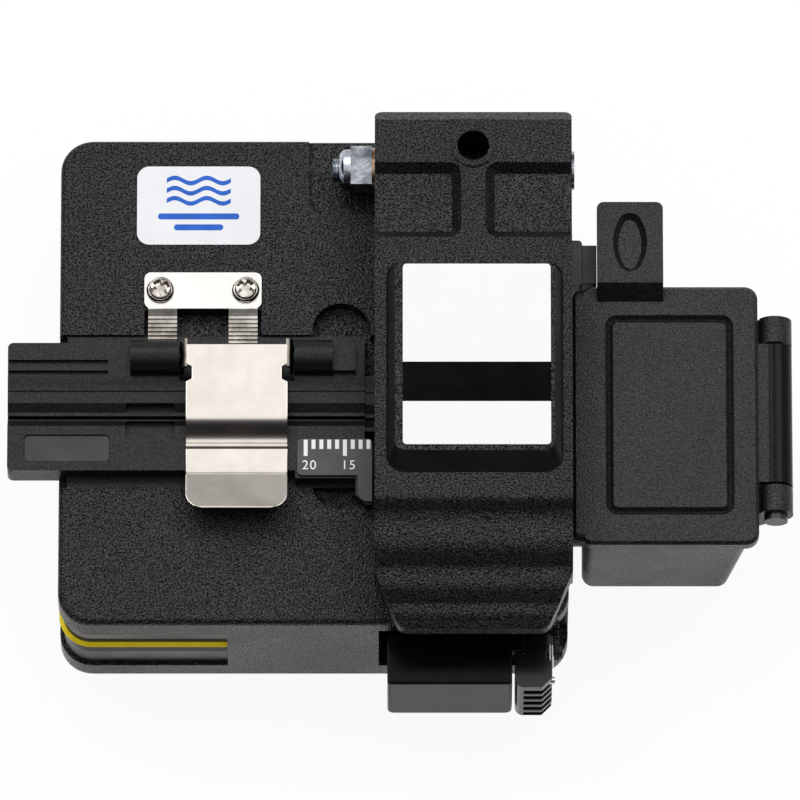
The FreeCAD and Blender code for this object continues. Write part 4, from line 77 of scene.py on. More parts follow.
class Surface:
    """A procedural material built up step by step on one Principled shader."""

    def __init__(self, name, colour, roughness, metallic=0.0, specular=0.5):
        self.material = bpy.data.materials.new(name)
        self.material.use_nodes = True
        self.nodes = self.material.node_tree.nodes
        self.links = self.material.node_tree.links
        self.shader = self.nodes["Principled BSDF"]
        self.shader.inputs["Base Color"].default_value = (*colour, 1.0)
        self.shader.inputs["Roughness"].default_value = roughness
        self.shader.inputs["Metallic"].default_value = metallic
        self.shader.inputs["Specular IOR Level"].default_value = specular
        self.place = self.nodes.new("ShaderNodeTexCoord").outputs["Object"]
        self.bump = None

    def scaled_place(self, size, stretch=(1.0, 1.0, 1.0)):
        """Place on the object, counted in lengths of the given size."""
        mapping = self.nodes.new("ShaderNodeMapping")
        mapping.inputs["Scale"].default_value = [factor / size for factor in stretch]
        self.links.new(self.place, mapping.inputs["Vector"])
        return mapping.outputs["Vector"]

    def noise(self, size, detail=2.0, stretch=(1.0, 1.0, 1.0)):
        """Noise whose blobs are about the given size across."""
        texture = self.nodes.new("ShaderNodeTexNoise")
        texture.inputs["Scale"].default_value = 1.0
        texture.inputs["Detail"].default_value = detail
        self.links.new(self.scaled_place(size, stretch), texture.inputs["Vector"])
        return texture.outputs["Fac"]

    def cells(self, size):
        """Rounded pebbles about the given size across."""
        texture = self.nodes.new("ShaderNodeTexVoronoi")
        texture.feature = "SMOOTH_F1"
        texture.inputs["Scale"].default_value = 1.0
        self.links.new(self.scaled_place(size), texture.inputs["Vector"])
        return texture.outputs["Distance"]

    def ramp(self, value, low, high, low_at=0.35, high_at=0.65):
        """Maps a value between two limits to a colour or number between two others."""
        if isinstance(low, tuple):
            ramp = self.nodes.new("ShaderNodeValToRGB")
            ramp.color_ramp.elements[0].position = low_at
            ramp.color_ramp.elements[1].position = high_at
            ramp.color_ramp.elements[0].color = (*low, 1.0)
            ramp.color_ramp.elements[1].color = (*high, 1.0)
            self.links.new(value, ramp.inputs["Fac"])
            return ramp.outputs["Color"]
        ramp = self.nodes.new("ShaderNodeMapRange")
        ramp.inputs["From Min"].default_value = low_at
        ramp.inputs["From Max"].default_value = high_at
        ramp.inputs["To Min"].default_value = low
        ramp.inputs["To Max"].default_value = high
        self.links.new(value, ramp.inputs["Value"])
        return ramp.outputs["Result"]

    def colour(self, value, low, high):
        """Lets a value between 0 and 1 choose between two base colours."""
        self.links.new(self.ramp(value, low, high), self.shader.inputs["Base Color"])
        return self

    def shine(self, value, low, high):
        """Lets a value between 0 and 1 choose between two specular levels."""
        self.links.new(self.ramp(value, low, high), self.shader.inputs["Specular IOR Level"])
        return self

    def roughness(self, value, low, high):
        """Lets a value between 0 and 1 choose between two roughnesses."""
        self.links.new(self.ramp(value, low, high), self.shader.inputs["Roughness"])
        return self

    def relief(self, value, height, strength=1.0):
        """Adds a bump of the given height on top of those added before."""
        node = self.nodes.new("ShaderNodeBump")
        node.inputs["Distance"].default_value = height
        node.inputs["Strength"].default_value = strength
        self.links.new(value, node.inputs["Height"])
        if self.bump is not None:
            self.links.new(self.bump, node.inputs["Normal"])
        self.bump = node.outputs["Normal"]
        self.links.new(self.bump, self.shader.inputs["Normal"])
        return self


def grained(name, dark, light, rough, grain, height, shine=(0.1, 0.8)):
    """Paint or plastic with a pebbled leather grain whose hollows are dull, and slight rubbed patches."""
    surface = Surface(name, dark, rough)
    patches = surface.noise(PATCH_SIZE, detail=3.0)
    pebbles = surface.noise(grain, detail=1.0)
    surface.colour(pebbles, dark, light)
    surface.shine(pebbles, *shine)
    surface.roughness(patches, rough + PATCH_ROUGHNESS[0], rough + PATCH_ROUGHNESS[1])
    surface.relief(pebbles, height)
    surface.relief(surface.cells(grain), -height * HOLLOW_SHARE)
    return surface.material


def smooth(name, dark, light, rough, metallic=0.0, specular=0.5, grain=0.25 * MM, height=0.004 * MM):
    """Smooth paint, plastic or plated metal with faint mottling and handling marks."""
    surface = Surface(name, light, rough, metallic, specular)
    surface.colour(surface.noise(MOTTLE_SIZE, detail=4.0), dark, light)
    handled = surface.noise(HANDLING_SIZE, detail=4.0)
    surface.roughness(handled, rough * HANDLING_RANGE[0], rough * HANDLING_RANGE[1])
    surface.relief(surface.noise(grain, detail=2.0), height, HANDLING_STRENGTH)
    return surface.material


def brushed(name, dark, light, rough, along, metallic=1.0):
    """Metal brushed along one axis (0, 1 or 2)."""
    surface = Surface(name, light, rough, metallic)
    stretch = [1.0, 1.0, 1.0]
    stretch[along] = BRUSH_STRETCH
    lines = surface.noise(BRUSH_LINE, detail=3.0, stretch=stretch)
    surface.colour(lines, dark, light)
    patches = surface.noise(BRUSH_PATCH, detail=3.0)
    surface.roughness(patches, rough * BRUSH_RANGE[0], rough * BRUSH_RANGE[1])
    surface.relief(lines, BRUSH_HEIGHT, BRUSH_STRENGTH)
    return surface.material


# ---------------------------------------------------------------- materials
# Each has its darker and lighter colour, then its roughness.
PRINT_RELIEF = 0.002 * MM
PLATE_GRAIN = 0.4 * MM
PLATE_RELIEF = 0.006 * MM

PAINT = grained("grained_paint", (0.003, 0.003, 0.003), (0.010, 0.010, 0.011), 0.28,
                grain=0.23 * MM, height=0.14 * MM, shine=(0.04, 0.44))
BOX_PLASTIC = grained("grained_plastic", (0.005, 0.005, 0.005), (0.012, 0.012, 0.012), 0.31,
                      grain=0.22 * MM, height=0.09 * MM, shine=(0.18, 0.36))
HOLDER = grained("matte_coat", (0.004, 0.004, 0.005), (0.009, 0.009, 0.010), 0.30,
                 grain=0.18 * MM, height=0.035 * MM, shine=(0.16, 0.30))
PLAIN_PAINT = smooth("plain_paint", (0.006, 0.006, 0.007), (0.010, 0.010, 0.011), 0.36,
                     specular=0.5)
PLINTH_PAINT = smooth("plinth_paint", (0.004, 0.004, 0.005), (0.007, 0.007, 0.008), 0.30,
                      specular=0.15)
GLOSS_PAINT = smooth("gloss_paint", (0.002, 0.002, 0.002), (0.004, 0.004, 0.004), 0.18,
                     specular=0.10)
GLOSS_PLASTIC = smooth("gloss_plastic", (0.003, 0.003, 0.004), (0.006, 0.007, 0.009), 0.20,
                       specular=0.35)
TRIM = smooth("trim_plastic", (0.014, 0.013, 0.013), (0.024, 0.023, 0.022), 0.36, specular=0.5)
NAVY = smooth("navy_gloss", (0.001, 0.002, 0.006), (0.003, 0.004, 0.012), 0.12, specular=0.05)
YELLOW = smooth("yellow_stripe", (0.96, 0.74, 0.002), (1.0, 0.80, 0.004), 0.40,
                specular=0.50, height=PRINT_RELIEF)
REST_GREY = smooth("rest_grey", (0.052, 0.051, 0.052), (0.060, 0.058, 0.059), 0.55,
                   specular=0.2, height=PRINT_RELIEF)
SCALE_GREY = smooth("scale_grey", (0.062, 0.060, 0.061), (0.076, 0.073, 0.075), 0.45,
                    specular=0.3, height=PRINT_RELIEF)
WHITE_PRINT = smooth("white_print", (0.895, 0.895, 0.90), (0.905, 0.905, 0.91), 0.45,
                     specular=0.3, height=PRINT_RELIEF)
STICKER_WHITE = smooth("sticker_white", (0.81, 0.82, 0.85), (0.84, 0.85, 0.88), 0.40,
                       specular=0.3, height=PRINT_RELIEF)
BLUE_PRINT = smooth("blue_print", (0.010, 0.105, 0.52), (0.016, 0.13, 0.60), 0.45,
                    specular=0.2, height=PRINT_RELIEF)
BLACK_PRINT = smooth("black_print", (0.002, 0.002, 0.002), (0.004, 0.004, 0.004), 0.45,
                     specular=0.02, height=PRINT_RELIEF)
NICKEL = smooth("nickel", (0.64, 0.63, 0.61), (0.69, 0.68, 0.66), 0.15,
                metallic=1.0, grain=PLATE_GRAIN, height=PLATE_RELIEF)
CLIP_NICKEL = smooth("clip_nickel", (0.57, 0.53, 0.485), (0.62, 0.575, 0.53), 0.16,
                     metallic=1.0, grain=PLATE_GRAIN, height=PLATE_RELIEF)
# Darker copy of the clip's nickel for its rolled ears: painted shade, standing in for the dark reflections on the
# bent sheet.
PAINTED_SHADE_NICKEL = smooth("painted_shade_nickel", (0.08, 0.07, 0.06), (0.20, 0.18, 0.16), 0.22,
                       metallic=1.0, grain=PLATE_GRAIN, height=0.02 * MM)
BRIGHT_NICKEL = smooth("bright_nickel", (0.38, 0.35, 0.32), (0.72, 0.69, 0.65), 0.09, 1.0)
ZINC = smooth("zinc", (0.10, 0.11, 0.14), (0.56, 0.59, 0.64), 0.14,
              metallic=1.0, grain=0.45 * MM, height=0.05 * MM)
BRONZED = smooth("bronzed", (0.20, 0.12, 0.07), (0.42, 0.32, 0.24), 0.22, 1.0)
STEEL = brushed("ground_steel", (0.52, 0.52, 0.53), (0.62, 0.62, 0.63), 0.28, 1)
BLADE_STEEL = smooth("lapped_steel", (0.62, 0.63, 0.65), (0.72, 0.73, 0.75), 0.16, 1.0)
DARK_STEEL = smooth("dark_steel", (0.030, 0.030, 0.032), (0.055, 0.055, 0.058), 0.32, 0.8)
ALUMINIUM = brushed("satin_aluminium", (0.58, 0.59, 0.60), (0.68, 0.69, 0.70), 0.34, 1)
BRASS = smooth("brass", (0.52, 0.36, 0.14), (0.64, 0.47, 0.20), 0.28, 1.0)
RUBBER = grained("rubber", (0.010, 0.010, 0.010), (0.018, 0.018, 0.018), 0.75,
                 grain=0.20 * MM, height=0.012 * MM)

NODE_MATERIALS = {
    PAINT: ("base_housing", "lever_body"),
    PLAIN_PAINT: ("bottom_cover", "waste_bracket"),
    GLOSS_PAINT: ("push_block",),
    GLOSS_PLASTIC: ("lock_latch",),
    BOX_PLASTIC: ("waste_tray", "waste_lid"),
    TRIM: ("side_trim",),
    NAVY: ("gloss_band",),
    YELLOW: ("yellow_stripe",),
    HOLDER: ("holder_body",),
    SCALE_GREY: ("scale_plate",),
    WHITE_PRINT: ("label_plate",),
    STICKER_WHITE: ("sticker",),
    NICKEL: ("hold_down_spring",),
    CLIP_NICKEL: ("clip_plate",),
    BRIGHT_NICKEL: ("hold_down_screws", "bottom_cover_screws", "waste_tray_screws"),
    ZINC: ("hinge_bolt", "hinge_nut"),
    BRONZED: ("hinge_washer",),
    STEEL: ("lower_clamp_left", "lower_clamp_right", "upper_clamp_left", "upper_clamp_right", "slide_rails",
            "spring_guide_pin", "slide_bearings", "carriage_spring", "anvil_spring", "latch_spring",
            "clip_spring"),
    BLADE_STEEL: ("blade_wheel", "anvil", "blade_axle"),
    DARK_STEEL: ("latch_pin", "lid_hinge_pin", "clip_pin", "anvil_housing"),
    ALUMINIUM: ("blade_slide",),
    BRASS: ("blade_hub",),
    RUBBER: ("rubber_pad", "lower_clamp_pads", "upper_clamp_pads", "clip_pad"),
}

for material, names in NODE_MATERIALS.items():
    for name in names:
        mesh = frame["nodes"][name].data
        mesh.materials.clear()
        mesh.materials.append(material)

# ---------------------------------------------------------------- mesh helpers
BODY_OF = {name: body for body, names in frame["record"]["behaviour"]["bodies"].items() for name in names}
SMOOTH_ANGLE = 32
PRINT = 0.02 * MM
MERGE_DISTANCE = 0.002 * MM
FLAT_ANGLE = 1.0
SHEET_EDGE = 0.12 * MM
SHEET_EDGE_ANGLE = 50
LID_REACH = 0.85 * MM
LID_EDGE_BAND = 0.5 * MM
LID_SKIN = 1.2 * MM
LID_TAB_RISE = 2.0 * MM


class Box:
    """Outer faces of a CAD node, in metres."""

    def __init__(self, node):
        low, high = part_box(node)
        self.x0, self.y0, self.z0 = low
        self.x1, self.y1, self.z1 = high
        self.mid_x = (self.x0 + self.x1) / 2
        self.mid_y = (self.y0 + self.y1) / 2
        self.mid_z = (self.z0 + self.z1) / 2


def shade_by_angle(mesh, degrees=SMOOTH_ANGLE):
    """Smooth shading with sharp edges wherever two faces meet at more than the angle."""
    data = bmesh.new()
    data.from_mesh(mesh)
    for edge in data.edges:
        edge.smooth = len(edge.link_faces) == 2 and edge.calc_face_angle(0.0) < math.radians(degrees)
    for face in data.faces:
        face.smooth = True
    data.to_mesh(mesh)
    data.free()


def add_piece(name, mesh, material, node):
    """Puts a finished mesh, in the given material, on the body of a CAD node."""
    mesh.materials.clear()
    mesh.materials.append(material)
    piece = bpy.data.objects.new(name, mesh)
    bpy.context.scene.collection.objects.link(piece)
    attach(piece, BODY_OF[node])
    return piece


def with_rounded_edges(piece, width, segments=2, limit=28):
    """Rounds the piece's hard edges for good."""
    bevel = piece.modifiers.new("edges", "BEVEL")
    bevel.width = width
    bevel.segments = segments
    bevel.limit_method = "ANGLE"
    bevel.angle_limit = math.radians(limit)
    bpy.context.view_layer.update()
    evaluated = piece.evaluated_get(bpy.context.evaluated_depsgraph_get())
    rounded = bpy.data.meshes.new_from_object(evaluated)
    piece.modifiers.clear()
    piece.data = rounded
    shade_by_angle(rounded)
    weighted = piece.modifiers.new("normals", "WEIGHTED_NORMAL")
    weighted.keep_sharp = True
    return piece


def widen_lid(data):
    """Carries the lid's left edge up to the base, so that no gap shows beside the lever."""
    low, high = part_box("waste_lid")
    top = high[2] - LID_TAB_RISE - LID_SKIN
    for vert in data.verts:
        if vert.co.x < low[0] + LID_EDGE_BAND and vert.co.z > top:
            vert.co.x -= LID_REACH


def eased(node, width):
    """The CAD node again with its hard edges rounded to the given width."""
    source = frame["nodes"][node]
    data = bmesh.new()
    data.from_mesh(source.data)
    if node == "waste_lid":
        widen_lid(data)
    bmesh.ops.remove_doubles(data, verts=data.verts, dist=MERGE_DISTANCE)
    bmesh.ops.dissolve_limit(data, angle_limit=math.radians(FLAT_ANGLE), verts=data.verts, edges=data.edges)
    mesh = bpy.data.meshes.new(node + "_eased")
    data.to_mesh(mesh)
    data.free()
    piece = add_piece(node + "_eased", mesh, source.data.materials[0], node)
    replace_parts(with_rounded_edges(piece, width), node)


def lofted(name, sections, ring=False):
    """Closed mesh through cross-sections that all have the same number of points."""
    count = len(sections[0])
    verts = [point for section in sections for point in section]
    faces = []
    spans = len(sections) if ring else len(sections) - 1
    for index in range(spans):
        low = index * count
        high = (index + 1) % len(sections) * count
        for corner in range(count):
            after = (corner + 1) % count
            faces.append((low + corner, low + after, high + after, high + corner))
    if not ring:
        faces.append(tuple(reversed(range(count))))
        faces.append(tuple(range(len(verts) - count, len(verts))))
    mesh = bpy.data.meshes.new(name)
    mesh.from_pydata(verts, [], faces)
    data = bmesh.new()
    data.from_mesh(mesh)
    bmesh.ops.recalc_face_normals(data, faces=data.faces)
    data.to_mesh(mesh)
    data.free()
    shade_by_angle(mesh)
    return mesh


def prism(name, outline, z0, z1):
    """Flat plate with the given plan."""
    return lofted(name, [[(x, y, z) for x, y in outline] for z in (z0, z1)])


def joined(name, meshes):
    """One mesh from several separate ones."""
    data = bmesh.new()
    for mesh in meshes:
        data.from_mesh(mesh)
    whole = bpy.data.meshes.new(name)
    data.to_mesh(whole)
    data.free()
    return whole


def rounded_outline(x0, x1, y0, y1, radius, steps=6):
    """Rectangle in plan with rounded corners."""
    points = []
    corners = ((x1 - radius, y1 - radius), (x0 + radius, y1 - radius), (x0 + radius, y0 + radius),
               (x1 - radius, y0 + radius))
    for quarter, (x, y) in enumerate(corners):
        for step in range(steps + 1):
            angle = math.pi / 2 * (quarter + step / steps)
            points.append((x + radius * math.cos(angle), y + radius * math.sin(angle)))
    return points


def turned(name, profile, y, z, sides=40):
    """Solid of revolution about a line along X, from pairs of place and radius."""
    sections = []
    for x, radius in profile:
        angles = [2 * math.pi * side / sides for side in range(sides)]
        sections.append([(x, y + radius * math.cos(angle), z + radius * math.sin(angle)) for angle in angles])
    return lofted(name, sections)


# ---------------------------------------------------------------- softened castings and mouldings
EASED_EDGES = {
    "lever_body": 0.24 * MM,
    "holder_body": 0.22 * MM,
    "waste_lid": 0.22 * MM,
    "waste_tray": 0.22 * MM,
    "push_block": 0.18 * MM,
    "lock_latch": 0.16 * MM,
    "scale_plate": 0.10 * MM,
    "hinge_nut": 0.22 * MM,
    "waste_bracket": 0.20 * MM,
}
BARREL_RADIUS = 2.35 * MM
BARREL_INSETS = (4.4 * MM, 3.9 * MM)
PLINTH_MARGIN = 2.6 * MM
PLINTH_FRONT = 5.6 * MM
PLINTH_DEPTH = 2.4 * MM
FLAT_NORMAL = 0.97

for node, width in EASED_EDGES.items():
    eased(node, width)

LID_PIN = Box("lid_hinge_pin")
LABEL = Box("label_plate")


def in_barrel(polygon):
    """Faces of the smooth sleeve between the lid's two outer knuckles."""
    away = math.hypot(polygon.center.x - LID_PIN.mid_x, polygon.center.z - LID_PIN.mid_z)
    along = LID_PIN.y0 + BARREL_INSETS[0] < polygon.center.y < LID_PIN.y1 - BARREL_INSETS[1]
    return along and away < BARREL_RADIUS


def on_plinth(polygon):
    """Sloping faces of the smooth plinth under the label."""
    centre = polygon.center
    beside = LABEL.x0 - PLINTH_MARGIN < centre.x < LABEL.x1 + PLINTH_MARGIN
    along = LABEL.y0 - PLINTH_FRONT < centre.y < LABEL.y1 + PLINTH_MARGIN
    return beside and along and centre.z > LABEL.z0 - PLINTH_DEPTH and 0 < polygon.normal.z < FLAT_NORMAL


def smooth_faces(node, material, chosen):
    """Gives the chosen faces of a softened part a smooth finish."""
    mesh = bpy.data.objects[node + "_eased"].data
    mesh.materials.append(material)
    for polygon in mesh.polygons:
        if chosen(polygon):
            polygon.material_index = 1


smooth_faces("waste_tray", GLOSS_PAINT, in_barrel)
smooth_faces("waste_lid", GLOSS_PAINT, in_barrel)
smooth_faces("lever_body", PLINTH_PAINT, on_plinth)


# ---------------------------------------------------------------- spring clip
CLIP_SHEET = 0.5 * MM
CLIP_EAR = 0.75 * MM
CLIP_EAR_RUN = 3.85 * MM
CLIP_FLAT_BACK = 0.80 * MM
CLIP_NOTCH = 1.65 * MM
CLIP_TIP_RADIUS = 2.2 * MM
CLIP_BEND = (2.85 * MM, 1.95 * MM)
CLIP_BEAD = (0.9 * MM, 0.26 * MM)
CLIP_CREASE = (0.30 * MM, 0.20 * MM)
CLIP_FOOT = 4.2 * MM
CLIP_LIP = (5.2 * MM, 1.7 * MM)
CLIP_NOTCH_RAMP = 0.25
CLIP_NOTCH_TOL = 0.01 * MM
CLIP_BEND_STEPS = 12
CLIP_BEAD_STEPS = 8
CLIP_LIP_STEPS = 30
CLIP_CURL = CLIP_EAR * 1.3
CLIP_CURL_STEPS = 8
CLIP_EAR_DROP = 1.2 * MM
CLIP_EAR_EDGE = 0.10 * MM


def clip_profile(clip):
    """Rear to front stations of the sheet's upper side, as Y and Z."""
    lip_y = clip.y0 + CLIP_LIP[0]
    foot_y = lip_y + CLIP_FOOT
    bend_y = foot_y + CLIP_BEND[0]
    ear_y = clip.y1 - CLIP_EAR_RUN
    notch_y = ear_y - CLIP_NOTCH
    foot_z = clip.z1 - CLIP_BEND[1]
    slack = CLIP_NOTCH * CLIP_NOTCH_RAMP
    flat = [clip.y1 - CLIP_FLAT_BACK]
    for edge_y in (ear_y, notch_y):
        flat += [edge_y + slack, edge_y, edge_y - slack]
    stations = [(y, clip.z1) for y in flat]
    for step in range(CLIP_BEND_STEPS + 1):
        share = step / CLIP_BEND_STEPS
        z = foot_z + CLIP_BEND[1] * (1 + math.cos(math.pi * share)) / 2
        stations.append((bend_y - CLIP_BEND[0] * share, z))
    for step in range(1, CLIP_BEAD_STEPS + 1):
        share = step / CLIP_BEAD_STEPS
        stations.append((foot_y - CLIP_BEAD[0] * share, foot_z + CLIP_BEAD[1] * math.sin(math.pi * share)))
    stations.append((lip_y + CLIP_CREASE[0], foot_z))
    stations.append((lip_y, foot_z - CLIP_CREASE[1]))
    for step in range(1, CLIP_LIP_STEPS + 1):
        share = step / CLIP_LIP_STEPS
        stations.append((lip_y - CLIP_LIP[0] * share, foot_z + CLIP_LIP[1] * share))
    return stations, ear_y, notch_y


def clip_half_width(y, clip, ear_y, notch_y):
    """Half the sheet's width at a place along Y: narrow at the notches, round at the tip."""
    full = (clip.x1 - clip.x0) / 2 - CLIP_EAR
    if notch_y - CLIP_NOTCH_TOL < y < ear_y + CLIP_NOTCH_TOL:
        return full - CLIP_EAR
    short = y - clip.y0
    if short < CLIP_TIP_RADIUS:
        return full - CLIP_TIP_RADIUS + math.sqrt(CLIP_TIP_RADIUS**2 - (CLIP_TIP_RADIUS - short) ** 2)
    return full


def clip_ear(clip, side, low):
    """Ear on one side, rolled from the flat sheet down to the given height."""
    outer = []
    inner = []
    root = (clip.x1 - clip.x0) / 2 - CLIP_CURL
    bore = CLIP_CURL - CLIP_SHEET
    for step in range(CLIP_CURL_STEPS + 1):
        angle = math.pi / 2 * step / CLIP_CURL_STEPS
        outer.append((root + CLIP_CURL * math.sin(angle), clip.z1 - CLIP_CURL * (1 - math.cos(angle))))
        inner.append((root + bore * math.sin(angle), clip.z1 - CLIP_CURL + bore * math.cos(angle)))
    outer.append((root + CLIP_CURL, low))
    inner.append((root + CLIP_CURL - CLIP_SHEET, low))
    band = outer + inner[::-1]
    ends = (clip.y1, clip.y1 - CLIP_EAR_RUN)
    return lofted("ear", [[(clip.mid_x + side * x, y, z) for x, z in band] for y in ends])


def spring_clip():
    """Bent sheet with side notches, a lifted lip and two ears rolled down round the pin."""
    clip = Box("clip_plate")
    low = Box("clip_pin").mid_z - CLIP_EAR_DROP
    stations, ear_y, notch_y = clip_profile(clip)
    sections = []
    for y, z in stations:
        half = max(clip_half_width(y, clip, ear_y, notch_y), CLIP_EAR)
        sections.append([(clip.mid_x - half, y, z), (clip.mid_x + half, y, z),
                         (clip.mid_x + half, y, z - CLIP_SHEET), (clip.mid_x - half, y, z - CLIP_SHEET)])
    sheet = add_piece("clip_sheet", lofted("clip_sheet", sections), CLIP_NICKEL, "clip_plate")
    with_rounded_edges(sheet, SHEET_EDGE, limit=SHEET_EDGE_ANGLE)
    ears = [clip_ear(clip, side, low) for side in (-1, 1)]
    # The ears take the darker copy of the clip's nickel: painted shade on the rolled sheet.
    piece = add_piece("clip_ears", joined("clip_ears", ears), PAINTED_SHADE_NICKEL, "clip_plate")
    with_rounded_edges(piece, CLIP_EAR_EDGE, limit=SHEET_EDGE_ANGLE)
    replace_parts(sheet, "clip_plate")


# ---------------------------------------------------------------- hold-down spring and its screws
HOLD_SHEET = 0.5 * MM
HOLD_PLATE_DEPTH = 5.0 * MM
HOLD_LEG = (0.5 * MM, 3.7 * MM)
HOLD_CORNER = 0.9 * MM
LEG_BEND = 0.6 * MM
LEG_OVERLAP = 0.12 * MM
LEG_STEPS = 96
RIPPLE_PITCH = 0.56 * MM
RIPPLE_HEIGHT = 0.22 * MM


def hold_down_spring():
    """Flat plate with two rippled legs that press on the holder's rear flange."""
    spring = Box("hold_down_spring")
    plate_y0 = spring.y1 - HOLD_PLATE_DEPTH
    leg_y1 = plate_y0 + LEG_OVERLAP
    outline = rounded_outline(spring.x0, spring.x1, plate_y0, spring.y1, HOLD_CORNER)
    plate = add_piece("hold_plate", prism("hold_plate", outline, spring.z1 - HOLD_SHEET, spring.z1), NICKEL,
                      "hold_down_spring")
    with_rounded_edges(plate, SHEET_EDGE, limit=SHEET_EDGE_ANGLE)
    legs = []
    inset, width = HOLD_LEG
    drop = spring.z1 - spring.z0 - HOLD_SHEET
    for x0 in (spring.x0 + inset, spring.x1 - inset - width):
        sections = []
        for step in range(LEG_STEPS + 1):
            y = leg_y1 + (spring.y0 - leg_y1) * step / LEG_STEPS
            past = plate_y0 - y
            z = spring.z1 - drop * min(1.0, max(0.0, past / LEG_BEND))
            if past > LEG_BEND:
                z -= RIPPLE_HEIGHT * (1 - math.cos(2 * math.pi * (past - LEG_BEND) / RIPPLE_PITCH)) / 2
            low = z - HOLD_SHEET
            sections.append([(x0, y, z), (x0 + width, y, z), (x0 + width, y, low), (x0, y, low)])
        legs.append(lofted("leg", sections))
    add_piece("hold_legs", joined("hold_legs", legs), BRIGHT_NICKEL, "hold_down_spring")
    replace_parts(plate, "hold_down_spring")


# Shares of the head's radius, apart from the depths in metres and the turns in radians.
CROSS_REACH = 0.66
CROSS_WIDTH = 0.20
CROSS_FLARE = 0.06
CROSS_SLOPES = (0.10, 0.08)
CROSS_DEPTH = 0.75 * MM
HEAD_GROOVE = (0.80, 0.06, 0.16 * MM)
HEAD_TURNS = (0.5, 0.9)
DOME_DROP = 0.7
DOME_POWER = 5
DOME_CENTRE = 0.02
DOME_RINGS = 22
DOME_SIDES = 96


def cross_recess(across, along):
    """Share of the full recess depth at a place on a pan head, from 0 to 1."""
    depth = 0.0
    for reach, side in ((abs(across), abs(along)), (abs(along), abs(across))):
        end = (CROSS_REACH - reach) / CROSS_SLOPES[0]
        flank = (CROSS_WIDTH + CROSS_FLARE - side) / CROSS_SLOPES[1]
        inside = min(end, flank, 1.0)
        depth = max(depth, inside)
    return depth


def pan_head(name, x, y, seat, top, radius, turn):
    """Domed screw head with a cross recess, its rings running out from the centre."""
    sections = []
    for ring in range(DOME_RINGS + 1):
        share = max(ring / DOME_RINGS, DOME_CENTRE)
        section = []
        for side in range(DOME_SIDES):
            angle = 2 * math.pi * side / DOME_SIDES
            across = share * math.cos(angle - turn)
            along = share * math.sin(angle - turn)
            dome = (top - seat) * (1 - DOME_DROP * share**DOME_POWER)
            groove = HEAD_GROOVE[2] * max(0.0, 1 - abs(share - HEAD_GROOVE[0]) / HEAD_GROOVE[1])
            z = seat + dome - groove - CROSS_DEPTH * cross_recess(across, along)
            section.append((x + radius * share * math.cos(angle), y + radius * share * math.sin(angle), z))
        sections.append(section)
    sections.append([(px, py, seat) for px, py, pz in sections[-1]])
    return lofted(name, sections)


def hold_down_screws():
    """The two pan heads as one piece, each recess turned its own way."""
    screws = Box("hold_down_screws")
    radius = (screws.y1 - screws.y0) / 2
    seat = Box("hold_down_spring").z1
    heads = []
    for x, turn in zip((screws.x0 + radius, screws.x1 - radius), HEAD_TURNS):
        heads.append(pan_head("head", x, screws.mid_y, seat, screws.z1, radius, turn))
    piece = add_piece("pan_heads", joined("pan_heads", heads), BRIGHT_NICKEL, "hold_down_screws")
    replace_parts(piece, "hold_down_screws")


# ---------------------------------------------------------------- printed marks
LABEL_BAND = (0.238, 0.456)
TICK_PITCH = 1.0 * MM
TICK_WIDTH = 0.50 * MM
TICK_LENGTHS = (1.25 * MM, 2.2 * MM)
TICK_REAR_INSET = 0.15 * MM
TICK_COUNTS = (20, 12)
TICKS_TO_LONG = 5
DIGIT_HEIGHT = 1.75 * MM
DIGIT_SPACING = 1.12
DIGIT_SHIFT = 0.45 * MM
DIGIT_INSET = 4.15 * MM
DIGIT_MERGE = 0.001 * MM
# The motif's places and sizes are shares of the sticker's width or depth.
WAVE_ROWS = 3
WAVE_PERIODS = 2
WAVE_STEPS = 40
WAVE_LEFT = 0.24
WAVE_RUN = 0.52
WAVE_FIRST = 0.56
WAVE_PITCH = 0.13
WAVE_SWING = 0.035
WAVE_HALF = 0.028
BARS = ((0.36, 0.66), (0.22, 0.40))
BAR_HALF = 0.038
BAR_ROUNDING = 0.95
REST_INSET = (2.1 * MM, 1.2 * MM)
REST_SIZE = (11.0 * MM, 3.65 * MM)
REST_RIM = 0.12 * MM
REST_CORNER = 0.55 * MM
REST_DROP = 0.3 * MM
HOLDER_BAR_DEPTH = 19.0 * MM


def label_print():
    """Black band across the bare white plate on the lever."""
    label = Box("label_plate")
    depth = label.y1 - label.y0
    y0 = label.y0 + depth * LABEL_BAND[0]
    y1 = label.y0 + depth * LABEL_BAND[1]
    outline = [(label.x0, y0), (label.x1, y0), (label.x1, y1), (label.x0, y1)]
    band = prism("label_band", outline, label.z1 - PRINT, label.z1 + PRINT)
    add_piece("label_band", band, BLACK_PRINT, "label_plate")


def printed_number(text, x, y, z, height):
    """Solid raised digits centred on x, standing on y."""
    curve = bpy.data.curves.new("digits", "FONT")
    curve.body = text
    curve.size = height
    curve.align_x = "CENTER"
    curve.space_character = DIGIT_SPACING
    curve.extrude = PRINT
    carrier = bpy.data.objects.new("digits", curve)
    mesh = bpy.data.meshes.new_from_object(carrier)
    bpy.data.objects.remove(carrier)
    data = bmesh.new()
    data.from_mesh(mesh)
    bmesh.ops.remove_doubles(data, verts=data.verts, dist=DIGIT_MERGE)
    bmesh.ops.translate(data, verts=data.verts, vec=(x, y, z))
    data.to_mesh(mesh)
    data.free()
    return mesh


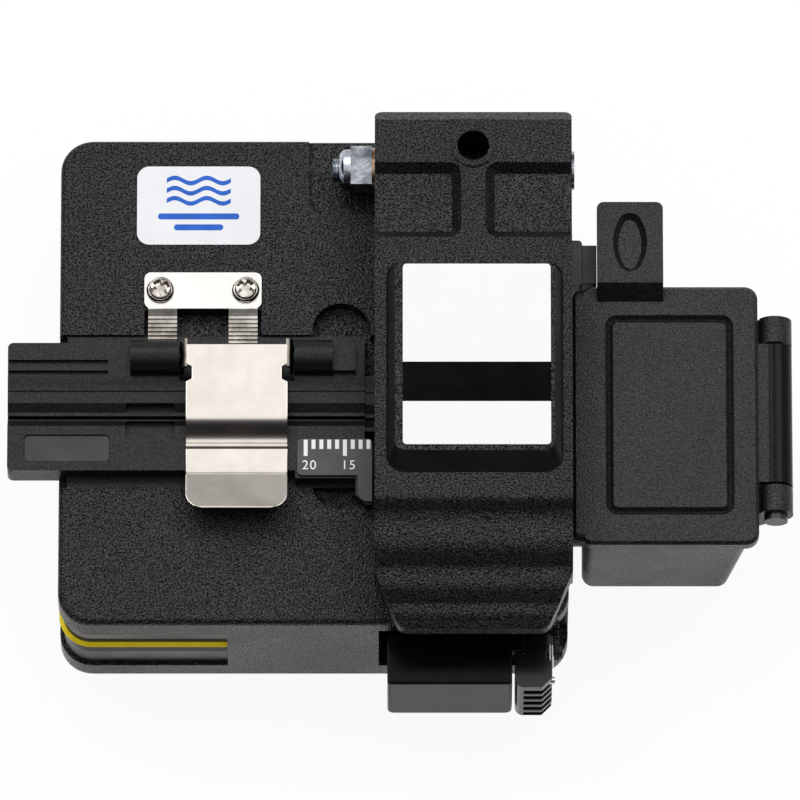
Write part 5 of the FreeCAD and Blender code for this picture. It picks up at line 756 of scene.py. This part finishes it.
def scale_print():
    """Millimetre ticks counted from the blade, a long one every fifth, with their numbers."""
    scale = Box("scale_plate")
    blade = Box("blade_wheel")
    marks = []
    rear = scale.y1 - TICK_REAR_INSET
    for count in range(TICK_COUNTS[0], TICK_COUNTS[1] - 1, -1):
        x = blade.mid_x - count * TICK_PITCH
        is_long = count % TICKS_TO_LONG == 0
        length = TICK_LENGTHS[is_long]
        outline = [(x - TICK_WIDTH / 2, rear - length), (x + TICK_WIDTH / 2, rear - length),
                   (x + TICK_WIDTH / 2, rear), (x - TICK_WIDTH / 2, rear)]
        marks.append(prism("tick", outline, scale.z1 - PRINT, scale.z1 + PRINT))
        if is_long:
            digit_y = scale.y1 - DIGIT_INSET
            marks.append(printed_number(str(count), x + DIGIT_SHIFT, digit_y, scale.z1, DIGIT_HEIGHT))
    add_piece("scale_marks", joined("scale_marks", marks), WHITE_PRINT, "scale_plate")


def sticker_print():
    """Plain blue motif: three waves over two bars."""
    sticker = Box("sticker")
    width = sticker.x1 - sticker.x0
    depth = sticker.y1 - sticker.y0
    low, high = sticker.z1 - PRINT, sticker.z1 + PRINT
    shapes = []
    half = depth * WAVE_HALF
    x0 = sticker.x0 + width * WAVE_LEFT
    run = width * WAVE_RUN
    for row in range(WAVE_ROWS):
        middle = sticker.y0 + depth * (WAVE_FIRST + WAVE_PITCH * row)
        line = []
        for step in range(WAVE_STEPS + 1):
            swing = math.sin(2 * math.pi * WAVE_PERIODS * step / WAVE_STEPS)
            line.append((x0 + run * step / WAVE_STEPS, middle + depth * WAVE_SWING * swing))
        outline = [(x, y - half) for x, y in line] + [(x, y + half) for x, y in reversed(line)]
        shapes.append(prism("wave", outline, low, high))
    half = depth * BAR_HALF
    for centre, share in BARS:
        y = sticker.y0 + depth * centre
        reach = width * share / 2
        outline = rounded_outline(sticker.mid_x - reach, sticker.mid_x + reach, y - half, y + half,
                                  half * BAR_ROUNDING)
        shapes.append(prism("bar", outline, low, high))
    add_piece("sticker_motif", joined("sticker_motif", shapes), BLUE_PRINT, "sticker")


def rest_plate():
    """Flat grey insert in the thumb rest of the holder."""
    holder = Box("holder_body")
    scale = Box("scale_plate")
    x0 = holder.x0 + REST_INSET[0] + REST_RIM
    y0 = holder.y1 - HOLDER_BAR_DEPTH + REST_INSET[1] + REST_RIM
    x1 = x0 + REST_SIZE[0] - 2 * REST_RIM
    y1 = y0 + REST_SIZE[1] - 2 * REST_RIM
    rest_z = scale.z0 - REST_DROP
    outline = rounded_outline(x0, x1, y0, y1, REST_CORNER)
    insert = prism("rest_insert", outline, rest_z - PRINT, rest_z + 4 * PRINT)
    add_piece("rest_insert", insert, REST_GREY, "holder_body")


# ---------------------------------------------------------------- trim round the front left corner
TRIM_BACK = 1.2 * MM
TRIM_SKIN = 0.15 * MM
BASE_RADIUS = 4.2 * MM
CORNER_STEPS = 16
BAND_INSET = 0.50 * MM
BAND_DROP = 0.2 * MM
BEAD_LEAN = 0.62 * MM
BEAD_MARGINS = (0.6 * MM, 0.8 * MM)


def corner_band(name, inset, lean, z0, z1):
    """Band that follows the base's front wall, its corner and the left wall."""
    trim = Box("side_trim")
    skin = Box("yellow_stripe")
    left = skin.x0 - TRIM_SKIN
    front = skin.y0 - TRIM_SKIN
    centre_x = left + BASE_RADIUS
    centre_y = front + BASE_RADIUS
    path = [((trim.x1, front), (0.0, -1.0))]
    for step in range(CORNER_STEPS + 1):
        angle = -math.pi / 2 - math.pi / 2 * step / CORNER_STEPS
        normal = (math.cos(angle), math.sin(angle))
        path.append(((centre_x + BASE_RADIUS * normal[0], centre_y + BASE_RADIUS * normal[1]), normal))
    path.append(((left, trim.y1), (-1.0, 0.0)))
    sections = []
    for (x, y), (nx, ny) in path:
        corners = []
        for depth, z in ((inset, z0), (inset + lean, z1), (TRIM_BACK, z1), (TRIM_BACK, z0)):
            corners.append((x - nx * depth, y - ny * depth, z))
        sections.append(corners)
    return lofted(name, sections)


def trim_bands():
    """The dark band and the leaning yellow bead over it, each in place of its CAD node."""
    stripe = Box("yellow_stripe")
    band_z0 = Box("gloss_band").z0 - BAND_DROP
    bead_z0 = stripe.z0 + BEAD_MARGINS[0]
    bead_z1 = stripe.z1 - BEAD_MARGINS[1]
    bands = (
        (NAVY, "gloss_band", BAND_INSET, 0.0, band_z0, stripe.z1),
        (YELLOW, "yellow_stripe", 0.0, BEAD_LEAN, bead_z0, bead_z1),
    )
    for material, node, inset, lean, z0, z1 in bands:
        piece = add_piece(node + "_line", corner_band(node + "_line", inset, lean, z0, z1), material, node)
        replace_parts(piece, node)


# ---------------------------------------------------------------- small turned parts
THREAD_PITCH = 0.32 * MM
THREAD_DEPTH = 0.14 * MM
THREAD_ROOT = 0.2
THREAD_RADIUS = 1.5 * MM
THREAD_START = 0.1 * MM
THREAD_TIP = (0.02 * MM, 0.8)
STUD_PROFILE = ((-0.6 * MM, 0.5 * MM), (-0.05 * MM, 0.5 * MM), (0.35 * MM, 0.38 * MM))
STUD_FROM_FRONT = 1.6 * MM
STUD_FROM_TOP = 6.0 * MM
STUD_SIDES = 24


def bolt_thread():
    """Thread crests on the bolt's tip beyond the nut."""
    bolt = Box("hinge_bolt")
    nut = Box("hinge_nut")
    profile = [(bolt.x0 + THREAD_TIP[0], THREAD_RADIUS * THREAD_TIP[1])]
    turns = int((nut.x0 - bolt.x0) / THREAD_PITCH)
    for turn in range(turns + 1):
        x = bolt.x0 + THREAD_START + turn * THREAD_PITCH
        profile.append((x, THREAD_RADIUS + THREAD_DEPTH))
        profile.append((x + THREAD_PITCH / 2, THREAD_RADIUS - THREAD_DEPTH * THREAD_ROOT))
    add_piece("bolt_thread", turned("bolt_thread", profile, bolt.mid_y, bolt.mid_z), ZINC, "hinge_bolt")


def latch_peg():
    """Bright stud on the latch's right side."""
    latch = Box("lock_latch")
    profile = [(latch.x1 + past, radius) for past, radius in STUD_PROFILE]
    stud = turned("latch_stud", profile, latch.y0 + STUD_FROM_FRONT, latch.z1 - STUD_FROM_TOP, STUD_SIDES)
    add_piece("latch_stud", stud, BRIGHT_NICKEL, "lock_latch")


spring_clip()
hold_down_spring()
hold_down_screws()
label_print()
scale_print()
sticker_print()
rest_plate()
trim_bands()
bolt_thread()
latch_peg()

# ---------------------------------------------------------------- floor, light and camera
FLOOR_SIZE = 6.0
FLOOR_COLOUR = (0.95, 0.95, 0.95)
FLOOR_ROUGHNESS = 0.9
FLOOR_GLOW_SHARE = 0.93
REAR_LEAN = 0.2
SKY_STOPS = ((0.0, 0.03), (0.20, 0.03), (0.50, 0.12), (0.72, 0.40), (0.88, 1.10), (1.0, 1.45))
# Name, place and edge in metres, power in watts.
LAMPS = (
    ("key", (-0.50, 0.75, 1.0), 0.8, 5.4),
    ("fill", (0.55, 0.60, 1.0), 0.8, 4.0),
    ("back", (-0.6, 1.4, 0.35), 1.2, 5.0),
    ("side", (1.5, 0.2, 0.35), 1.2, 3.0),
)
VIEW_ELEVATION = math.radians(70)
VIEW_DISTANCE = 2.0
VIEW_WIDTH = 102.17 * MM
VIEW_AIM = Vector((11.02, -2.66, 20.5)) * MM
VIEW_CLIP = (0.05, 20.0)
SENSOR = 36.0


def floor():
    """Floor that keeps a faint shadow, and is white to the camera and in glossy reflections."""
    half = FLOOR_SIZE / 2
    mesh = bpy.data.meshes.new("floor")
    mesh.from_pydata([(-half, -half, 0), (half, -half, 0), (half, half, 0), (-half, half, 0)], [], [(0, 1, 2, 3)])
    plane = bpy.data.objects.new("floor", mesh)
    bpy.context.scene.collection.objects.link(plane)
    material = bpy.data.materials.new("floor_white")
    material.use_nodes = True
    nodes = material.node_tree.nodes
    links = material.node_tree.links
    matte = nodes["Principled BSDF"]
    matte.inputs["Base Color"].default_value = (*FLOOR_COLOUR, 1.0)
    matte.inputs["Roughness"].default_value = FLOOR_ROUGHNESS
    matte.inputs["Specular IOR Level"].default_value = 0.0
    glow = nodes.new("ShaderNodeEmission")
    glow.inputs["Strength"].default_value = 1.0
    rays = nodes.new("ShaderNodeLightPath")
    seen = nodes.new("ShaderNodeMath")
    seen.operation = "MAXIMUM"
    links.new(rays.outputs["Is Camera Ray"], seen.inputs[0])
    links.new(rays.outputs["Is Glossy Ray"], seen.inputs[1])
    share = nodes.new("ShaderNodeMath")
    share.operation = "MULTIPLY"
    share.inputs[1].default_value = FLOOR_GLOW_SHARE
    links.new(seen.outputs[0], share.inputs[0])
    blend = nodes.new("ShaderNodeMixShader")
    links.new(share.outputs[0], blend.inputs["Fac"])
    links.new(matte.outputs["BSDF"], blend.inputs[1])
    links.new(glow.outputs["Emission"], blend.inputs[2])
    links.new(blend.outputs["Shader"], nodes["Material Output"].inputs["Surface"])
    mesh.materials.append(material)


def world():
    """Overhead light that fades towards a dim front horizon; camera rays alone see plain white."""
    scene_world = bpy.data.worlds.new("studio")
    bpy.context.scene.world = scene_world
    scene_world.use_nodes = True
    nodes = scene_world.node_tree.nodes
    links = scene_world.node_tree.links
    place = nodes.new("ShaderNodeTexCoord")
    height = nodes.new("ShaderNodeVectorMath")
    height.operation = "DOT_PRODUCT"
    height.inputs[1].default_value = (0.0, REAR_LEAN, 1.0)
    links.new(place.outputs["Generated"], height.inputs[0])
    ramp = nodes.new("ShaderNodeValToRGB")
    stops = ramp.color_ramp.elements
    for index, (position, level) in enumerate(SKY_STOPS):
        stop = stops[index] if index < 2 else stops.new(position)
        stop.position = position
        stop.color = (level, level, level, 1.0)
    links.new(height.outputs["Value"], ramp.inputs["Fac"])
    sky = nodes["Background"]
    links.new(ramp.outputs["Color"], sky.inputs["Color"])
    white = nodes.new("ShaderNodeBackground")
    white.inputs["Color"].default_value = (1.0, 1.0, 1.0, 1.0)
    rays = nodes.new("ShaderNodeLightPath")
    blend = nodes.new("ShaderNodeMixShader")
    links.new(rays.outputs["Is Camera Ray"], blend.inputs["Fac"])
    links.new(sky.outputs["Background"], blend.inputs[1])
    links.new(white.outputs["Background"], blend.inputs[2])
    links.new(blend.outputs["Shader"], nodes["World Output"].inputs["Surface"])


def lamp(name, place, size, power):
    """Square area lamp that points at the object."""
    light = bpy.data.lights.new(name, "AREA")
    light.shape = "SQUARE"
    light.size = size
    light.energy = power
    carrier = bpy.data.objects.new(name, light)
    bpy.context.scene.collection.objects.link(carrier)
    carrier.location = place
    carrier.rotation_euler = Vector(place).to_track_quat("Z", "Y").to_euler()


def camera():
    """Long lens at the photograph's angle, framed to the photograph's width."""
    data = bpy.data.cameras.new("camera")
    data.sensor_width = SENSOR
    data.lens = SENSOR * VIEW_DISTANCE / VIEW_WIDTH
    data.clip_start, data.clip_end = VIEW_CLIP
    eye = bpy.data.objects.new("camera", data)
    bpy.context.scene.collection.objects.link(eye)
    back = Vector((0.0, -math.cos(VIEW_ELEVATION), math.sin(VIEW_ELEVATION)))
    eye.location = VIEW_AIM + back * VIEW_DISTANCE
    eye.rotation_euler = back.to_track_quat("Z", "Y").to_euler()
    bpy.context.scene.camera = eye


floor()
world()
for lamp_facts in LAMPS:
    lamp(*lamp_facts)
camera()
bpy.context.scene.view_settings.view_transform = "Standard"
